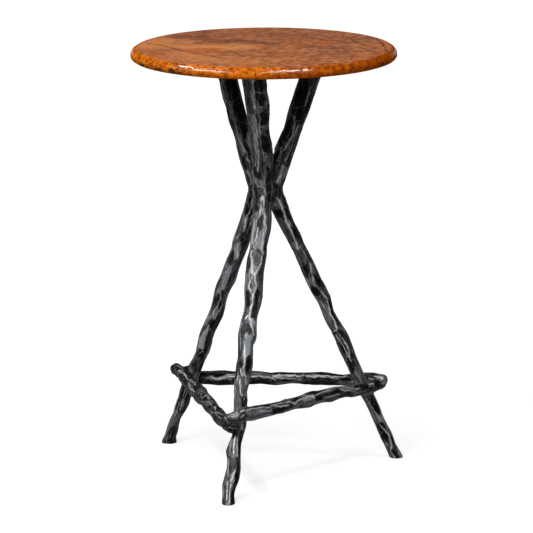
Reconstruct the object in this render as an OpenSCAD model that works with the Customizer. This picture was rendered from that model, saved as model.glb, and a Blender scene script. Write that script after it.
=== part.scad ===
// Round side table. A burl wood top stands on three hammered iron legs. The legs lean in to
// a narrow waist, where they press on each other, and lean out again to the floor. Three
// stretcher bars form a triangle round the outside of the legs. Units are millimetres.
// The origin is on the floor on the table's axis, and one leg points to the front, -Y.

/* [Tabletop] */
// Overall height of the table
table_h = 660; // [600:5:720]
// Diameter of the round top
top_d = 406; // [380:2:440]
// Thickness of the top
top_t = 18; // [16:0.5:24]
// Radius that eases the top's upper edge
upper_edge_r = 6; // [2:0.5:7]
// Radius that eases the top's lower edge
lower_edge_r = 8; // [2:0.5:8]

/* [Legs] */
// Nominal diameter of a leg bar, which the forging thickens and thins
leg_d = 25; // [23:0.5:27]
// Radius of the circle on which the feet stand
foot_circle_r = 214; // [190:2:240]
// Radius of the circle on which the legs meet the plate
top_circle_r = 85; // [75:1:95]
// Height of the waist above the floor
waist_h = 440; // [420:5:460]
// Thickness of the bars at the waist, as a share of their nominal diameter
waist_share = 1.12; // [1.05:0.01:1.2]
// How far each bar is pressed flat against its neighbours at the waist
waist_press = 1.2; // [0.8:0.1:2]

/* [Stretchers] */
// Nominal diameter of a stretcher bar
stretcher_d = 20.5; // [18:0.5:23]
// Height of the level on which two stretchers cross at the front leg
front_lap_h = 118.5; // [105:0.5:130]
// Height of that level at the left leg
left_lap_h = 116.5; // [105:0.5:130]
// Height of that level at the right leg
right_lap_h = 123.5; // [105:0.5:130]
// Rise from the low bar's axis to the high bar's axis at the front leg
front_lap_rise = 17; // [12:0.5:18]
// Rise from the low bar's axis to the high bar's axis at the two rear legs
rear_lap_rise = 9.5; // [8:0.5:18]
// How deep the flats are cut where a stretcher bears on a leg
seat_press = 2.5; // [1.5:0.1:3]
// How far a stretcher's low end runs on past the crossing
low_overrun = 7.5; // [6:0.5:14]
// How far a stretcher's high end runs on past the crossing
high_overrun = 12; // [10:1:18]
// How much further the left stretcher's high end runs
left_nub = 8; // [0:1:12]

/* [Mounting plate] */
// Thickness of the steel plate
plate_t = 5; // [4:0.5:8]
// Width of the plate outside the leg ends
plate_margin = 14; // [12:1:20]
// Bevel of the plate's lower edge
plate_bevel = 1; // [0.5:0.25:2]

/* [Screws] */
// Diameter of a screw's shank
screw_d = 4.8; // [4:0.1:5.5]
// Diameter of a screw's head
screw_head_d = 9.4; // [8:0.2:11]
// Height of a screw's head
screw_head_t = 3.2; // [2.5:0.1:4]
// Depth of a screw in the wood
screw_bite = 11; // [9:0.5:12]
// Distance from the screws to the edge of the plate
screw_edge = 9; // [8:0.5:12]
// Angle between a pair of screws
screw_spread = 44; // [30:1:60]
// Radial clearance of a screw in the plate
plate_clearance = 0.5; // [0.2:0.1:1]
// Radial clearance of a screw in its pilot hole
pilot_clearance = 0.1; // [0.05:0.05:0.3]
// Wood left between a pilot hole's end and the screw's point
pilot_spare = 1; // [0.5:0.5:2]

/* [Welds] */
// Width of the weld round a leg end at the plate
plate_weld = 4; // [3:0.5:6]
// Radius of the weld metal between a leg and a stretcher
seat_weld_r = 12.5; // [11.5:0.5:14]
// Radius of the weld metal between two crossing stretchers
lap_weld_r = 11.5; // [9:0.5:14]
// Radius of the weld bead in a groove of the waist
waist_weld_r = 4.5; // [3:0.5:5]
// Length of the straight part of a waist bead
waist_weld_l = 26; // [20:1:34]

/* [Forging] */
// Depth of the hammer marks
hammer_depth = 0.5; // [0.2:0.1:1]
// Number of flats round a bar
bar_sides = 12; // [10:1:16]
// Number of rings along a leg
leg_rings = 52; // [40:1:60]
// Number of rings along a stretcher
stretcher_rings = 30; // [20:1:40]

/* [Hidden] */

wood = "#c06a2c";
iron = "#4a4c50";
steel = "#2e2f31";
zinc = "#b8bcc0";

plate_top = table_h - top_t;
leg_h = plate_top - plate_t;
waist_r = (leg_d * waist_share / 2 - waist_press) / sin(60);
foot_run = sqrt(pow(foot_circle_r, 2) - pow(waist_r, 2));
top_run = sqrt(pow(top_circle_r, 2) - pow(waist_r, 2));
waist_at = waist_h / leg_h;
screw_r = screw_d / 2;
ring_step = leg_h / leg_rings;
end_share = 1.4;
plate_r = top_circle_r + leg_d * end_share / 2 + plate_margin;
screw_circle_r = plate_r - screw_edge;
cut = 60;
end_rings = [0.02, 0.25, 0.6];
end_length = 0.4 * stretcher_d;
seat_spare = 1.5;
lap_reach = 0.83 * stretcher_d;
waist_taper = 8;
weld_root = 0.4;
weld_reach = 30;
weld_rings = 12;
zigzag = [37, 59, 83];

// A leg's stations from the floor up: share of the leg's height, how far the bar wanders
// outward and to its left in mm, and its thickness as a share of leg_d.
front_stations = [
  [0.00, 2, -2, 0.77], [0.025, 2, -2, 0.69], [0.05, 1, 0, 0.84], [0.10, 2, -1, 0.86],
  [0.13, 1, -1, 0.72], [0.16, 0, 0, 0.77], [0.23, 0, 0, 0.82], [0.31, 0, 0, 0.92],
  [0.335, 2, -2, 0.88], [0.365, 2, -1, 1.08], [0.40, 0, 0, 0.93], [0.43, -2, 1, 0.94],
  [0.46, -2, 0, 1.12], [0.50, -1, 0, 1.12], [0.56, -3, 1, 1.08], [0.63, -2, 2, 1.08],
  [waist_at, 0, 0, waist_share], [0.75, 0, 3, 1.20], [0.82, -2, 4, 1.30], [0.90, -3, 5, 1.37],
  [1.00, 0, 4.5, end_share]
];
left_stations = [
  [0.00, 4, 0, 0.82], [0.03, 4, 0, 0.66], [0.06, 6, 0, 0.65], [0.10, 3, 0, 0.71],
  [0.13, 5, 0, 0.77], [0.23, 4, 0, 0.79], [0.26, 4, 0, 0.84], [0.295, 7, 0, 0.83],
  [0.33, 4, 0, 0.92], [0.36, 2, 0, 0.86], [0.40, 5, 0, 0.87], [0.43, 6, 0, 0.89],
  [0.46, 5, 0, 0.98], [0.52, 4, 0, 0.94], [0.60, 4, 0, 1.03], [0.64, 3, 0, 1.10],
  [waist_at, 0, 0, waist_share], [0.76, 5, 1, 1.14], [0.80, 5, 3, 1.16], [0.88, 6, 4, 1.14],
  [0.92, 5, 3, 1.12], [1.00, 1, 1, 1.24]
];
right_stations = [
  [0.00, -1, 0, 0.76], [0.03, -1, 0, 0.65], [0.065, 1, 0, 0.70], [0.11, 0, 0, 0.65],
  [0.16, 1, 0, 0.76], [0.25, 2, 0, 0.76], [0.31, 6, 0, 0.82], [0.345, 4, 0, 0.82],
  [0.375, 4, 0, 0.70], [0.405, 6, 0, 0.76], [0.435, 6, 0, 0.96], [0.47, 5, 0, 0.87],
  [0.53, 7, 0, 0.82], [0.57, 6, 0, 0.86], [0.63, 4, 0, 0.98],
  [waist_at, 0, 0, waist_share], [0.75, 4, 0, 1.14], [0.80, 5, 0, 1.19], [0.87, 3, 0, 1.20],
  [0.95, 0, 0, 1.21], [1.00, 0, 0, 1.26]
];

// A stretcher's stations from its low end to its high end: share of its length, how far it
// wanders up and outward in mm, and its thickness as a share of stretcher_d.
back_bar = [
  [0.00, 0, 0, 0.90], [0.10, 0, 0, 0.92], [0.20, -1, 0, 1.04], [0.32, 0, 0, 1.00],
  [0.40, 0, 0, 0.88], [0.48, -1, 0, 0.96], [0.56, 0, 0, 0.84], [0.66, 1, 0, 0.96],
  [0.76, -1, 0, 0.80], [0.86, 0, 0, 0.94], [1.00, 0, 0, 0.92]
];
left_bar = [
  [0.00, 0, 0, 0.90], [0.12, 0, 0, 0.94], [0.22, -2, 1, 1.10], [0.32, -2, 0, 0.98],
  [0.42, -3, 1, 1.14], [0.52, 0, 1, 1.00], [0.62, -3, 1, 1.14], [0.74, 0, 0, 0.98],
  [0.84, 0, 0, 1.02], [0.90, 0, 0, 1.00], [1.00, -1.5, 3.5, 0.98]
];
right_bar = [
  [0.00, 0, 0, 0.90], [0.12, 1, 0, 1.02], [0.22, 0, 0, 1.14], [0.32, 4, 0, 1.02],
  [0.42, 2.5, 1, 1.12], [0.50, 1.5, 0, 0.88], [0.60, 1, 0, 0.88], [0.72, -1, 1, 1.00],
  [0.84, 0, 0, 1.10], [0.92, 0.5, 0, 1.02], [1.00, 1, 0, 0.94]
];

// Each leg's direction in plan, its stations, the level on which its stretchers cross, and
// the rise from one stretcher's axis to the other's.
front_leg = [270, front_stations, front_lap_h, front_lap_rise];
left_leg = [150, left_stations, left_lap_h, rear_lap_rise];
right_leg = [30, right_stations, right_lap_h, rear_lap_rise];

// Each stretcher's stations and how far its low and high ends run past the crossings.
back_stretcher = [back_bar, low_overrun, high_overrun];
left_stretcher = [left_bar, low_overrun, high_overrun + left_nub];
right_stretcher = [right_bar, low_overrun, high_overrun];

// Vector helpers.
function unit(v) = v / norm(v);
function plan(v) = [v.x, v.y];
function turned(v, a) = [v.x * cos(a) - v.y * sin(a), v.x * sin(a) + v.y * cos(a), v.z];
function crossing(p, u, q, w) = p + u * cross(q - p, w) / cross(u, w);
function station(rows, share, column) = lookup(share, [for (row = rows) [row[0], row[column]]]);

// Rings of points swept along a bar, and the skin over them.
function hammer(i, j) =
  hammer_depth * sin(zigzag[0] * i * i + zigzag[1] * i * j + zigzag[2] * j * j);
function ring(centre, along, beside, r, i) =
  let (
    out = unit(cross(beside, along)),
    side = cross(along, out)
  ) [for (j = [0:bar_sides - 1])
      let (a = 360 * j / bar_sides)
        centre + (r + hammer(i, j)) * (cos(a) * out + sin(a) * side)];
function wall_faces(rings) = [
  for (i = [0:rings - 2], j = [0:bar_sides - 1])
    let (
      k = (j + 1) % bar_sides,
      low = i * bar_sides,
      high = low + bar_sides
    ) each [[low + j, high + j, high + k], [low + j, high + k, low + k]]
];
module skin(rings) {
  last = (len(rings) - 1) * bar_sides;
  polyhedron(
    points = [for (one = rings) each one],
    faces = concat(
      [[for (j = [0:bar_sides - 1]) j]],
      wall_faces(len(rings)),
      [[for (j = [bar_sides - 1:-1:0]) last + j]]
    )
  );
}

// A leg in its own frame, with X outward from the table's axis.
function leg_line(z) = z < waist_h
  ? norm([waist_r, foot_run * (waist_h - z) / waist_h])
  : norm([waist_r, top_run * (z - waist_h) / (leg_h - waist_h)]);
function leg_centre(rows, z) = [
  leg_line(z) + station(rows, z / leg_h, 1),
  station(rows, z / leg_h, 2),
  z
];
function leg_radius(rows, z) = leg_d / 2 * station(rows, z / leg_h, 3);
function leg_ring(rows, i, grow) =
  let (
    z = i * ring_step,
    along = unit(leg_centre(rows, z + ring_step / 2) - leg_centre(rows, z - ring_step / 2))
  ) ring(leg_centre(rows, z), along, [0, 1, 0], leg_radius(rows, z) + grow, i);
module leg_bar(rows, from, to) {
  skin([for (i = [from:to]) leg_ring(rows, i, 0)]);
}
// The third of the circle that a leg keeps to, from the floor to the plate.
module leg_share() {
  far = 2 * foot_circle_r;
  linear_extrude(leg_h)
    polygon([[0, 0], far * [cos(60), -sin(60)], [2 * far, 0], far * [cos(60), sin(60)]]);
}

// A stretcher bears on the outside of two legs. Its low end is at leg low and its high end
// is at leg high, which is the next leg clockwise from above.
function on_leg(leg, z) = turned(leg_centre(leg[1], z), leg[0]);
function low_z(leg) = leg[2] - leg[3] / 2;
function high_z(leg) = leg[2] + leg[3] / 2;
function leg_face(leg, z, way) =
  plan(on_leg(leg, z)) + (leg_radius(leg[1], z) - seat_press) * [-way.y, way.x];
function seat_line(low, high) =
  let (way = unit(plan(on_leg(high, high_z(high))) - plan(on_leg(low, low_z(low)))))
    [leg_face(low, low_z(low), way), leg_face(high, high_z(high), way)];
function bar_way(low, high) =
  let (seats = seat_line(low, high)) unit(seats[1] - seats[0]);
function bar_line(low, high) =
  let (
    seats = seat_line(low, high),
    way = bar_way(low, high)
  ) seats[0] + (stretcher_d / 2 - seat_press) * [-way.y, way.x];
function before(leg) = leg[0] == 270 ? right_leg : leg[0] == 150 ? front_leg : left_leg;
function after(leg) = leg[0] == 270 ? left_leg : leg[0] == 150 ? right_leg : front_leg;
// The point in plan, outside a leg, where its two stretchers cross.
function corner(leg) = crossing(
  bar_line(leg, after(leg)), bar_way(leg, after(leg)),
  bar_line(before(leg), leg), bar_way(before(leg), leg)
);

function bar_centre(low, bar, share) =
  let (
    high = after(low),
    way = bar_way(low, high),
    from = corner(low) - bar[1] * way,
    to = corner(high) + bar[2] * way,
    at = from + share * (to - from) + station(bar[0], share, 2) * [-way.y, way.x],
    z = low_z(low) + share * (high_z(high) - low_z(low))
  ) [at.x, at.y, z + station(bar[0], share, 1)];
function bar_length(low, bar) = norm(corner(after(low)) - corner(low)) + bar[1] + bar[2];
function bar_radius(bar, share) = stretcher_d / 2 * station(bar[0], share, 3);
// The ends are rounded: the last few rings shrink as a quarter circle does.
function bar_shares(low, bar) =
  let (tip = end_length / bar_length(low, bar)) concat(
    [for (e = end_rings) e * tip],
    [for (i = [0:stretcher_rings]) tip + (1 - 2 * tip) * i / stretcher_rings],
    [for (k = [len(end_rings) - 1:-1:0]) 1 - end_rings[k] * tip]
  );
function end_shrink(low, bar, share) =
  let (gone = 1 - min(share, 1 - share) * bar_length(low, bar) / end_length)
    gone > 0 ? sqrt(1 - gone * gone) : 1;
module stretcher_bar(low, bar, from, to) {
  shares = bar_shares(low, bar);
  way = bar_centre(low, bar, 1) - bar_centre(low, bar, 0);
  skin([for (i = [from:to])
    let (share = shares[i])
      ring(
        bar_centre(low, bar, share), unit(way), [0, 0, 1],
        bar_radius(bar, share) * end_shrink(low, bar, share), i
      )]);
}

// Boxes that flatten a leg or a stretcher where they bear on each other. A box stands on
// the seat line of the stretcher that starts at leg low.
module seat_box(low, at_high, outside) {
  high = after(low);
  seats = seat_line(low, high);
  way = bar_way(low, high);
  at = at_high ? seats[1] : seats[0];
  z = at_high ? high_z(high) : low_z(low);
  half = stretcher_d / 2 + seat_spare;
  translate([at.x, at.y, z])
    rotate([0, 0, atan2(way.y, way.x)])
      translate([-cut / 2, outside ? 0 : -cut, outside ? -half : -cut / 2])
        cube([cut, cut, outside ? 2 * half : cut]);
}
// Box that flattens the end of a stretcher on the level where two of them cross.
module lap_box(leg, way, above) {
  at = corner(leg);
  translate([at.x, at.y, leg[2]])
    rotate([0, 0, atan2(way.y, way.x)])
      translate([-lap_reach, -lap_reach, above ? 0 : -cut])
        cube([2 * lap_reach, 2 * lap_reach, cut]);
}
module cut_leg(leg, from, to) {
  difference() {
    rotate([0, 0, leg[0]]) leg_bar(leg[1], from, to);
    seat_box(leg, false, true);
    seat_box(before(leg), true, true);
  }
}
module leg_solid(leg) {
  color(iron)
    intersection() {
      cut_leg(leg, -1, leg_rings + 1);
      rotate([0, 0, leg[0]]) leg_share();
    }
}
module cut_stretcher(low, bar, from, to) {
  high = after(low);
  way = bar_way(low, high);
  difference() {
    stretcher_bar(low, bar, from, to);
    seat_box(low, false, false);
    seat_box(low, true, false);
    lap_box(low, way, true);
    lap_box(high, way, false);
  }
}
module whole_stretcher(low, bar) {
  color(iron)
    cut_stretcher(low, bar, 0, len(bar_shares(low, bar)) - 1);
}

module leg_front() {
  leg_solid(front_leg);
}
module leg_left() {
  leg_solid(left_leg);
}
module leg_right() {
  leg_solid(right_leg);
}
module stretcher_back() {
  whole_stretcher(left_leg, back_stretcher);
}
module stretcher_left() {
  whole_stretcher(front_leg, left_stretcher);
}
module stretcher_right() {
  whole_stretcher(right_leg, right_stretcher);
}

// Places of the screws, two in each gap between the legs.
module at_screws(z) {
  for (gap = [90, 210, 330], hand = [-1, 1])
    rotate([0, 0, gap + hand * screw_spread / 2])
      translate([screw_circle_r, 0, z])
        children();
}
function eased_edge(r, t, low, high) = concat(
  [[0, 0]],
  [for (a = [-90:15:0]) [r - low + low * cos(a), low + low * sin(a)]],
  [for (a = [0:15:90]) [r - high + high * cos(a), t - high + high * sin(a)]],
  [[0, t]]
);
module tabletop() {
  color(wood)
    difference() {
      translate([0, 0, plate_top])
        rotate_extrude($fn = 96)
          polygon(eased_edge(top_d / 2, top_t, lower_edge_r, upper_edge_r));
      at_screws(plate_top - 1)
        cylinder(h = screw_bite + pilot_spare + 1, r = screw_r + pilot_clearance, $fn = 32);
    }
}
module mounting_plate() {
  color(steel)
    difference() {
      translate([0, 0, leg_h]) {
        cylinder(h = plate_bevel, r1 = plate_r - plate_bevel, r2 = plate_r, $fn = 96);
        translate([0, 0, plate_bevel])
          cylinder(h = plate_t - plate_bevel, r = plate_r, $fn = 96);
      }
      at_screws(leg_h - 1)
        cylinder(h = plate_t + 2, r = screw_r + plate_clearance, $fn = 32);
    }
}
module screw() {
  tip = screw_d;
  reach = plate_t + screw_bite;
  slot = screw_head_d / 8;
  difference() {
    rotate_extrude($fn = 32)
      polygon([
        [0, -screw_head_t],
        [screw_head_d * 0.3, -screw_head_t],
        [screw_head_d * 0.45, -screw_head_t * 0.7],
        [screw_head_d * 0.5, -screw_head_t * 0.3],
        [screw_head_d * 0.5, 0],
        [screw_r, 0],
        [screw_r, reach - tip],
        [0, reach]
      ]);
    for (a = [0, 90])
      rotate([0, 0, a])
        translate([-screw_head_d * 0.3, -slot / 2, -screw_head_t - 1])
          cube([screw_head_d * 0.6, slot, screw_head_t * 0.5 + 1]);
  }
}
module plate_screws() {
  color(zinc)
    at_screws(leg_h)
      screw();
}

// Weld metal round each leg end, thin at the bottom and wide at the plate.
module plate_welds() {
  color(iron)
    for (leg = [front_leg, left_leg, right_leg])
      difference() {
        rotate([0, 0, leg[0]])
          skin([for (i = [leg_rings - 1:leg_rings + 1])
            leg_ring(leg[1], i, weld_root + plate_weld * (i - leg_rings + 1))]);
        rotate([0, 0, leg[0]])
          leg_bar(leg[1], leg_rings - 2, leg_rings + 2);
        translate([-plate_r, -plate_r, leg_h])
          cube([2 * plate_r, 2 * plate_r, cut]);
      }
}
// Beads in the three grooves between the legs at the waist.
module waist_welds() {
  beside = ceil((waist_weld_l / 2 + 2 * waist_taper) / ring_step);
  middle = round(waist_h / ring_step);
  color(iron)
    for (gap = [[90, right_leg, left_leg], [210, left_leg, front_leg], [330, front_leg, right_leg]])
      difference() {
        rotate([0, 0, gap[0]])
          translate([waist_r + waist_weld_r / 4, 0, waist_h - waist_weld_l / 2]) {
            cylinder(h = waist_weld_l, r = waist_weld_r, $fn = 24);
            for (end = [0, 1])
              translate([0, 0, end * waist_weld_l])
                mirror([0, 0, 1 - end])
                  cylinder(h = waist_taper, r1 = waist_weld_r, r2 = waist_weld_r / 3, $fn = 24);
          }
        for (leg = [gap[1], gap[2]])
          rotate([0, 0, leg[0]])
            leg_bar(leg[1], middle - beside, middle + beside);
      }
}
// Weld metal in one corner: round the seats of the two stretchers and round their crossing.
module corner_welds(leg, low_bar, high_bar) {
  below = floor((low_z(leg) - weld_reach) / ring_step);
  above = ceil((high_z(leg) + weld_reach) / ring_step);
  seats = [seat_line(leg, after(leg))[0], seat_line(before(leg), leg)[1]];
  levels = [low_z(leg), high_z(leg)];
  at = corner(leg);
  last = len(bar_shares(leg, low_bar)) - 1;
  color(iron) {
    for (k = [0, 1])
      difference() {
        translate([seats[k].x, seats[k].y, levels[k]])
          sphere(r = seat_weld_r, $fn = 32);
        cut_leg(leg, below, above);
        cut_stretcher(leg, low_bar, 0, weld_rings);
        cut_stretcher(before(leg), high_bar, last - weld_rings, last);
      }
    difference() {
      translate([at.x, at.y, leg[2]])
        sphere(r = lap_weld_r, $fn = 32);
      cut_stretcher(leg, low_bar, 0, weld_rings);
      cut_stretcher(before(leg), high_bar, last - weld_rings, last);
    }
  }
}
module corner_welds_front() {
  corner_welds(front_leg, left_stretcher, right_stretcher);
}
module corner_welds_left() {
  corner_welds(left_leg, back_stretcher, left_stretcher);
}
module corner_welds_right() {
  corner_welds(right_leg, right_stretcher, back_stretcher);
}

tabletop();
mounting_plate();
plate_screws();
leg_front();
leg_left();
leg_right();
stretcher_back();
stretcher_left();
stretcher_right();
plate_welds();
waist_welds();
corner_welds_front();
corner_welds_left();
corner_welds_right();
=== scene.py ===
# Round side table: a burl wood top on three hammered iron bars that pinch together at a waist.
import math
import bpy
import numpy as np
from mathutils import Matrix, Vector


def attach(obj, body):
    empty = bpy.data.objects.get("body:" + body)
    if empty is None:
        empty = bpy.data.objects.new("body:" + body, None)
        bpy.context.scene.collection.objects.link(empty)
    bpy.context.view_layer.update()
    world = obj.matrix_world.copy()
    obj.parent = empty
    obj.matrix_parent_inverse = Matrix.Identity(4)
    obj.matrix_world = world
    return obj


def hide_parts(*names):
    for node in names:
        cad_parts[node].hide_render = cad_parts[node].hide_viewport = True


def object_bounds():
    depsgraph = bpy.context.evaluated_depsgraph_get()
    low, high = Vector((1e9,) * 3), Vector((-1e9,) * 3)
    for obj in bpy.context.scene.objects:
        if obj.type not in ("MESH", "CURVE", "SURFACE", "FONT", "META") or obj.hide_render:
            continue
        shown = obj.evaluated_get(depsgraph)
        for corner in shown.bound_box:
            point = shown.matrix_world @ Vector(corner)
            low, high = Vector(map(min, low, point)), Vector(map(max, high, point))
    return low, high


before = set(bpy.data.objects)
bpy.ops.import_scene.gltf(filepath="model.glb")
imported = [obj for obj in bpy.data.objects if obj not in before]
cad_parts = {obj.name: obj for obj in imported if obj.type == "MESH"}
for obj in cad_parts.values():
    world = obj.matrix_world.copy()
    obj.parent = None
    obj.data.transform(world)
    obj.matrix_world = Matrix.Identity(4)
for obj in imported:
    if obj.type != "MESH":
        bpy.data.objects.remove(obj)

cadBox = [list(corner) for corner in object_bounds()]
boxLow, boxHigh = np.array(cadBox[0]), np.array(cadBox[1])
scene = bpy.context.scene

# ---- camera
# It stands well back with a long lens, a little above the table top.
viewpoint = {
    "turn": 14.571,        # degrees round from the front leg
    "lift": 12.23,         # degrees above level
    "roll": -0.238,
    "distance": 5.902,
    "aimSide": 0.0028,
    "aimHeight": 0.3188,
    "lens": 259.64,
    "sensor": 36,
    "farthest": 60,
}


def placeCamera(viewpoint):
    turn, lift, roll = (math.radians(viewpoint[key]) for key in ("turn", "lift", "roll"))
    back = Vector((math.sin(turn) * math.cos(lift), -math.cos(turn) * math.cos(lift), math.sin(lift)))
    level = Vector((math.cos(turn), math.sin(turn), 0))
    upright = back.cross(level)
    side = level * math.cos(roll) + upright * math.sin(roll)
    head = upright * math.cos(roll) - level * math.sin(roll)
    lens = bpy.data.cameras.new("tableCamera")
    lens.sensor_width = viewpoint["sensor"]
    lens.lens = viewpoint["lens"]
    lens.clip_end = viewpoint["farthest"]
    camera = bpy.data.objects.new("tableCamera", lens)
    scene.collection.objects.link(camera)
    stand = Matrix((side, head, back)).transposed().to_4x4()
    aim = level * viewpoint["aimSide"] + Vector((0, 0, viewpoint["aimHeight"]))
    stand.translation = aim + back * viewpoint["distance"]
    camera.matrix_world = stand
    scene.camera = camera


placeCamera(viewpoint)
print("camera placed")


# ---- mesh helpers
def buildPiece(name, points, faces, marks, material, flat=()):
    points = np.clip(points, boxLow, boxHigh)    # the look stays inside the solid model's box
    mesh = bpy.data.meshes.new(name)
    mesh.from_pydata(points.tolist(), [], faces)
    smooth = np.ones(len(faces), bool)
    smooth[list(flat)] = False
    mesh.polygons.foreach_set("use_smooth", smooth)
    for label, values in marks.items():
        kind = "FLOAT_VECTOR" if values.ndim == 2 else "FLOAT"
        stored = mesh.attributes.new(label, kind, "POINT")
        stored.data.foreach_set("vector" if values.ndim == 2 else "value", values.astype(np.float32).ravel())
    mesh.materials.append(material)
    mesh.update()
    piece = bpy.data.objects.new(name, mesh)
    scene.collection.objects.link(piece)
    return piece


# A tube's sides, then its two end faces.
def closedTube(rings, sides):
    i, j = np.meshgrid(np.arange(rings - 1), np.arange(sides), indexing="ij")
    k = (j + 1) % sides
    quads = np.stack([i * sides + j, i * sides + k, (i + 1) * sides + k, (i + 1) * sides + j], -1)
    ends = [list(range(sides))[::-1], list(range((rings - 1) * sides, rings * sides))]
    return quads.reshape(-1, 4).tolist() + ends


def unit(v):
    return v / np.linalg.norm(v, axis=-1, keepdims=True)


def turned(points, degrees):
    c, s = math.cos(math.radians(degrees)), math.sin(math.radians(degrees))
    return points @ np.array([[c, s, 0], [-s, c, 0], [0, 0, 1]])


def wrapTurn(angle):
    return (angle + math.pi) % (2 * math.pi) - math.pi


lumpWaves = {"count": 9, "tightness": (0.7, 1.4)}    # how many waves add up, and how much tighter than asked


# Smooth chance lumps of about the given size, between -1 and 1.
def lumps(points, size, seed):
    rng = np.random.default_rng(seed)
    total = np.zeros(len(points))
    for _ in range(lumpWaves["count"]):
        way = unit(rng.normal(size=3))
        waves = points @ way * 2 * math.pi / size * rng.uniform(*lumpWaves["tightness"])
        total += np.sin(waves + rng.uniform(0, 6.3))
    return total / lumpWaves["count"]


# Stations are read off straight lines and then rounded, so that no kink shows.
def stationCurve(rows, column, shares, soften, steps=1600):
    fine = np.linspace(0, 1, steps + 1)
    values = np.interp(fine, rows[:, 0], rows[:, column])
    reach = int(3 * soften * steps)
    weights = np.exp(-0.5 * (np.arange(-reach, reach + 1) / (soften * steps)) ** 2)
    padded = np.pad(values, reach, mode="reflect", reflect_type="odd")
    values = np.convolve(padded, weights / weights.sum(), mode="valid")
    return np.interp(shares, fine, values)


# ---- shader helpers
noiseRange = (0.3, 0.7)    # where nearly all of a noise's values lie


def put(tree, kind, inputs=None, **settings):
    node = tree.nodes.new(kind)
    for key, value in settings.items():
        setattr(node, key, value)
    for key, value in (inputs or {}).items():
        if isinstance(value, bpy.types.NodeSocket):
            tree.links.new(value, node.inputs[key])
        else:
            node.inputs[key].default_value = value
    return node


def sums(tree, operation, a, b=0.0, clamp=False):
    return put(tree, "ShaderNodeMath", {0: a, 1: b}, operation=operation, use_clamp=clamp).outputs[0]


def spread(tree, value, low, high, toLow=0.0, toHigh=1.0, smooth=True):
    node = put(tree, "ShaderNodeMapRange", {0: value, 1: low, 2: high, 3: toLow, 4: toHigh})
    node.interpolation_type = "SMOOTHSTEP" if smooth else "LINEAR"
    return node.outputs[0]


def tint(tree, factor, a, b, blend="MIX"):
    node = put(tree, "ShaderNodeMix", {0: factor, 6: a, 7: b}, data_type="RGBA", blend_type=blend)
    return node.outputs[2]


def speckle(tree, place, scale, detail=3.0, roughness=0.5, distortion=0.0):
    node = put(tree, "ShaderNodeTexNoise", {"Vector": place, "Scale": scale, "Detail": detail,
                                            "Roughness": roughness, "Distortion": distortion})
    return node.outputs[0]


def layer(tree, label, output="Fac"):
    return put(tree, "ShaderNodeAttribute", attribute_name=label).outputs[output]


# The sum of several values, each with its share.
def blendOf(tree, values, shares):
    total = None
    for value, share in zip(values, shares):
        part = sums(tree, "MULTIPLY", value, share)
        total = part if total is None else sums(tree, "ADD", total, part)
    return total


def scaledVector(tree, vector, factor):
    return put(tree, "ShaderNodeVectorMath", {0: vector, 3: factor}, operation="SCALE").outputs[0]


def objectPlace(tree):
    return put(tree, "ShaderNodeTexCoord").outputs["Object"]


def addBump(tree, skin, strength, distance, height):
    bump = put(tree, "ShaderNodeBump", {"Strength": strength, "Distance": distance, "Height": height})
    tree.links.new(bump.outputs[0], skin.inputs["Normal"])


# 1 for what the camera sees itself, in a gloss or through glass, and 0 for what only lights the table.
def plainlySeen(tree):
    path = put(tree, "ShaderNodeLightPath")
    seen = sums(tree, "MAXIMUM", path.outputs["Is Camera Ray"], path.outputs["Is Glossy Ray"])
    return sums(tree, "MAXIMUM", seen, path.outputs["Is Transmission Ray"])


def newGroup(name, inputs, outputs):
    group = bpy.data.node_groups.new(name, "ShaderNodeTree")
    for label, kind, default in inputs:
        socket = group.interface.new_socket(label, in_out="INPUT", socket_type=kind)
        if default is not None:
            socket.default_value = default
    for label, kind in outputs:
        group.interface.new_socket(label, in_out="OUTPUT", socket_type=kind)
    return group, put(group, "NodeGroupInput"), put(group, "NodeGroupOutput")


def newMaterial(name):
    material = bpy.data.materials.new(name)
    material.use_nodes = True
    tree = material.node_tree
    return material, tree, tree.nodes["Principled BSDF"]


number, shade, arrow = "NodeSocketFloat", "NodeSocketColor", "NodeSocketVector"


# Scale, detail, roughness and distortion of the brushing; the grain isn't drawn out along the bar.
brushed = {"Blotch": (62, 3, 0.55, 0.5), "Streak": (230, 3, 0.6, 0.4), "Fibre": (620, 2, 0.6)}
grained = (800, 2, 0.6)


# Fine brushing and dirt that every iron and steel surface carries.
def gritGroup():
    group, given, out = newGroup(
        "metalGrit",
        [("Place", arrow, None), ("Scale", number, 1.0), ("Length", number, 0.13)],
        [("Blotch", number), ("Streak", number), ("Fibre", number), ("Grain", number)])
    along = put(group, "ShaderNodeCombineXYZ", {0: given.outputs["Length"], 1: 1.0, 2: 1.0}).outputs[0]
    place = put(group, "ShaderNodeVectorMath", {0: given.outputs["Place"], 1: along}, operation="MULTIPLY").outputs[0]
    place = scaledVector(group, place, given.outputs["Scale"])
    for label, settings in brushed.items():
        group.links.new(speckle(group, place, *settings), out.inputs[label])
    group.links.new(speckle(group, given.outputs["Place"], *grained), out.inputs["Grain"])
    return group


# How the brushing is made up, and what it and the marks do to the iron's colour, roughness and height.
wear = {
    "brushing": (0.45, 0.35, 0.2),          # shares of streak, fibre and grain
    "blotchTone": 0.8,
    "brushTone": 2.1,
    "greyFrom": (0.05, 0.60),
    "wornFrom": (0.55, 1.15),
    "ridgeRub": 0.30,
    "rubBreaks": (0.38, 0.57, 0.12, 1.2),
    "creaseBlack": 0.9,
    "roughness": (0.50, 0.38),              # of the scale and of the bright metal
    "grainRoughness": (-0.05, 0.07),
    "height": (0.7, 0.3),                   # shares of brushing and grain
}


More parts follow.
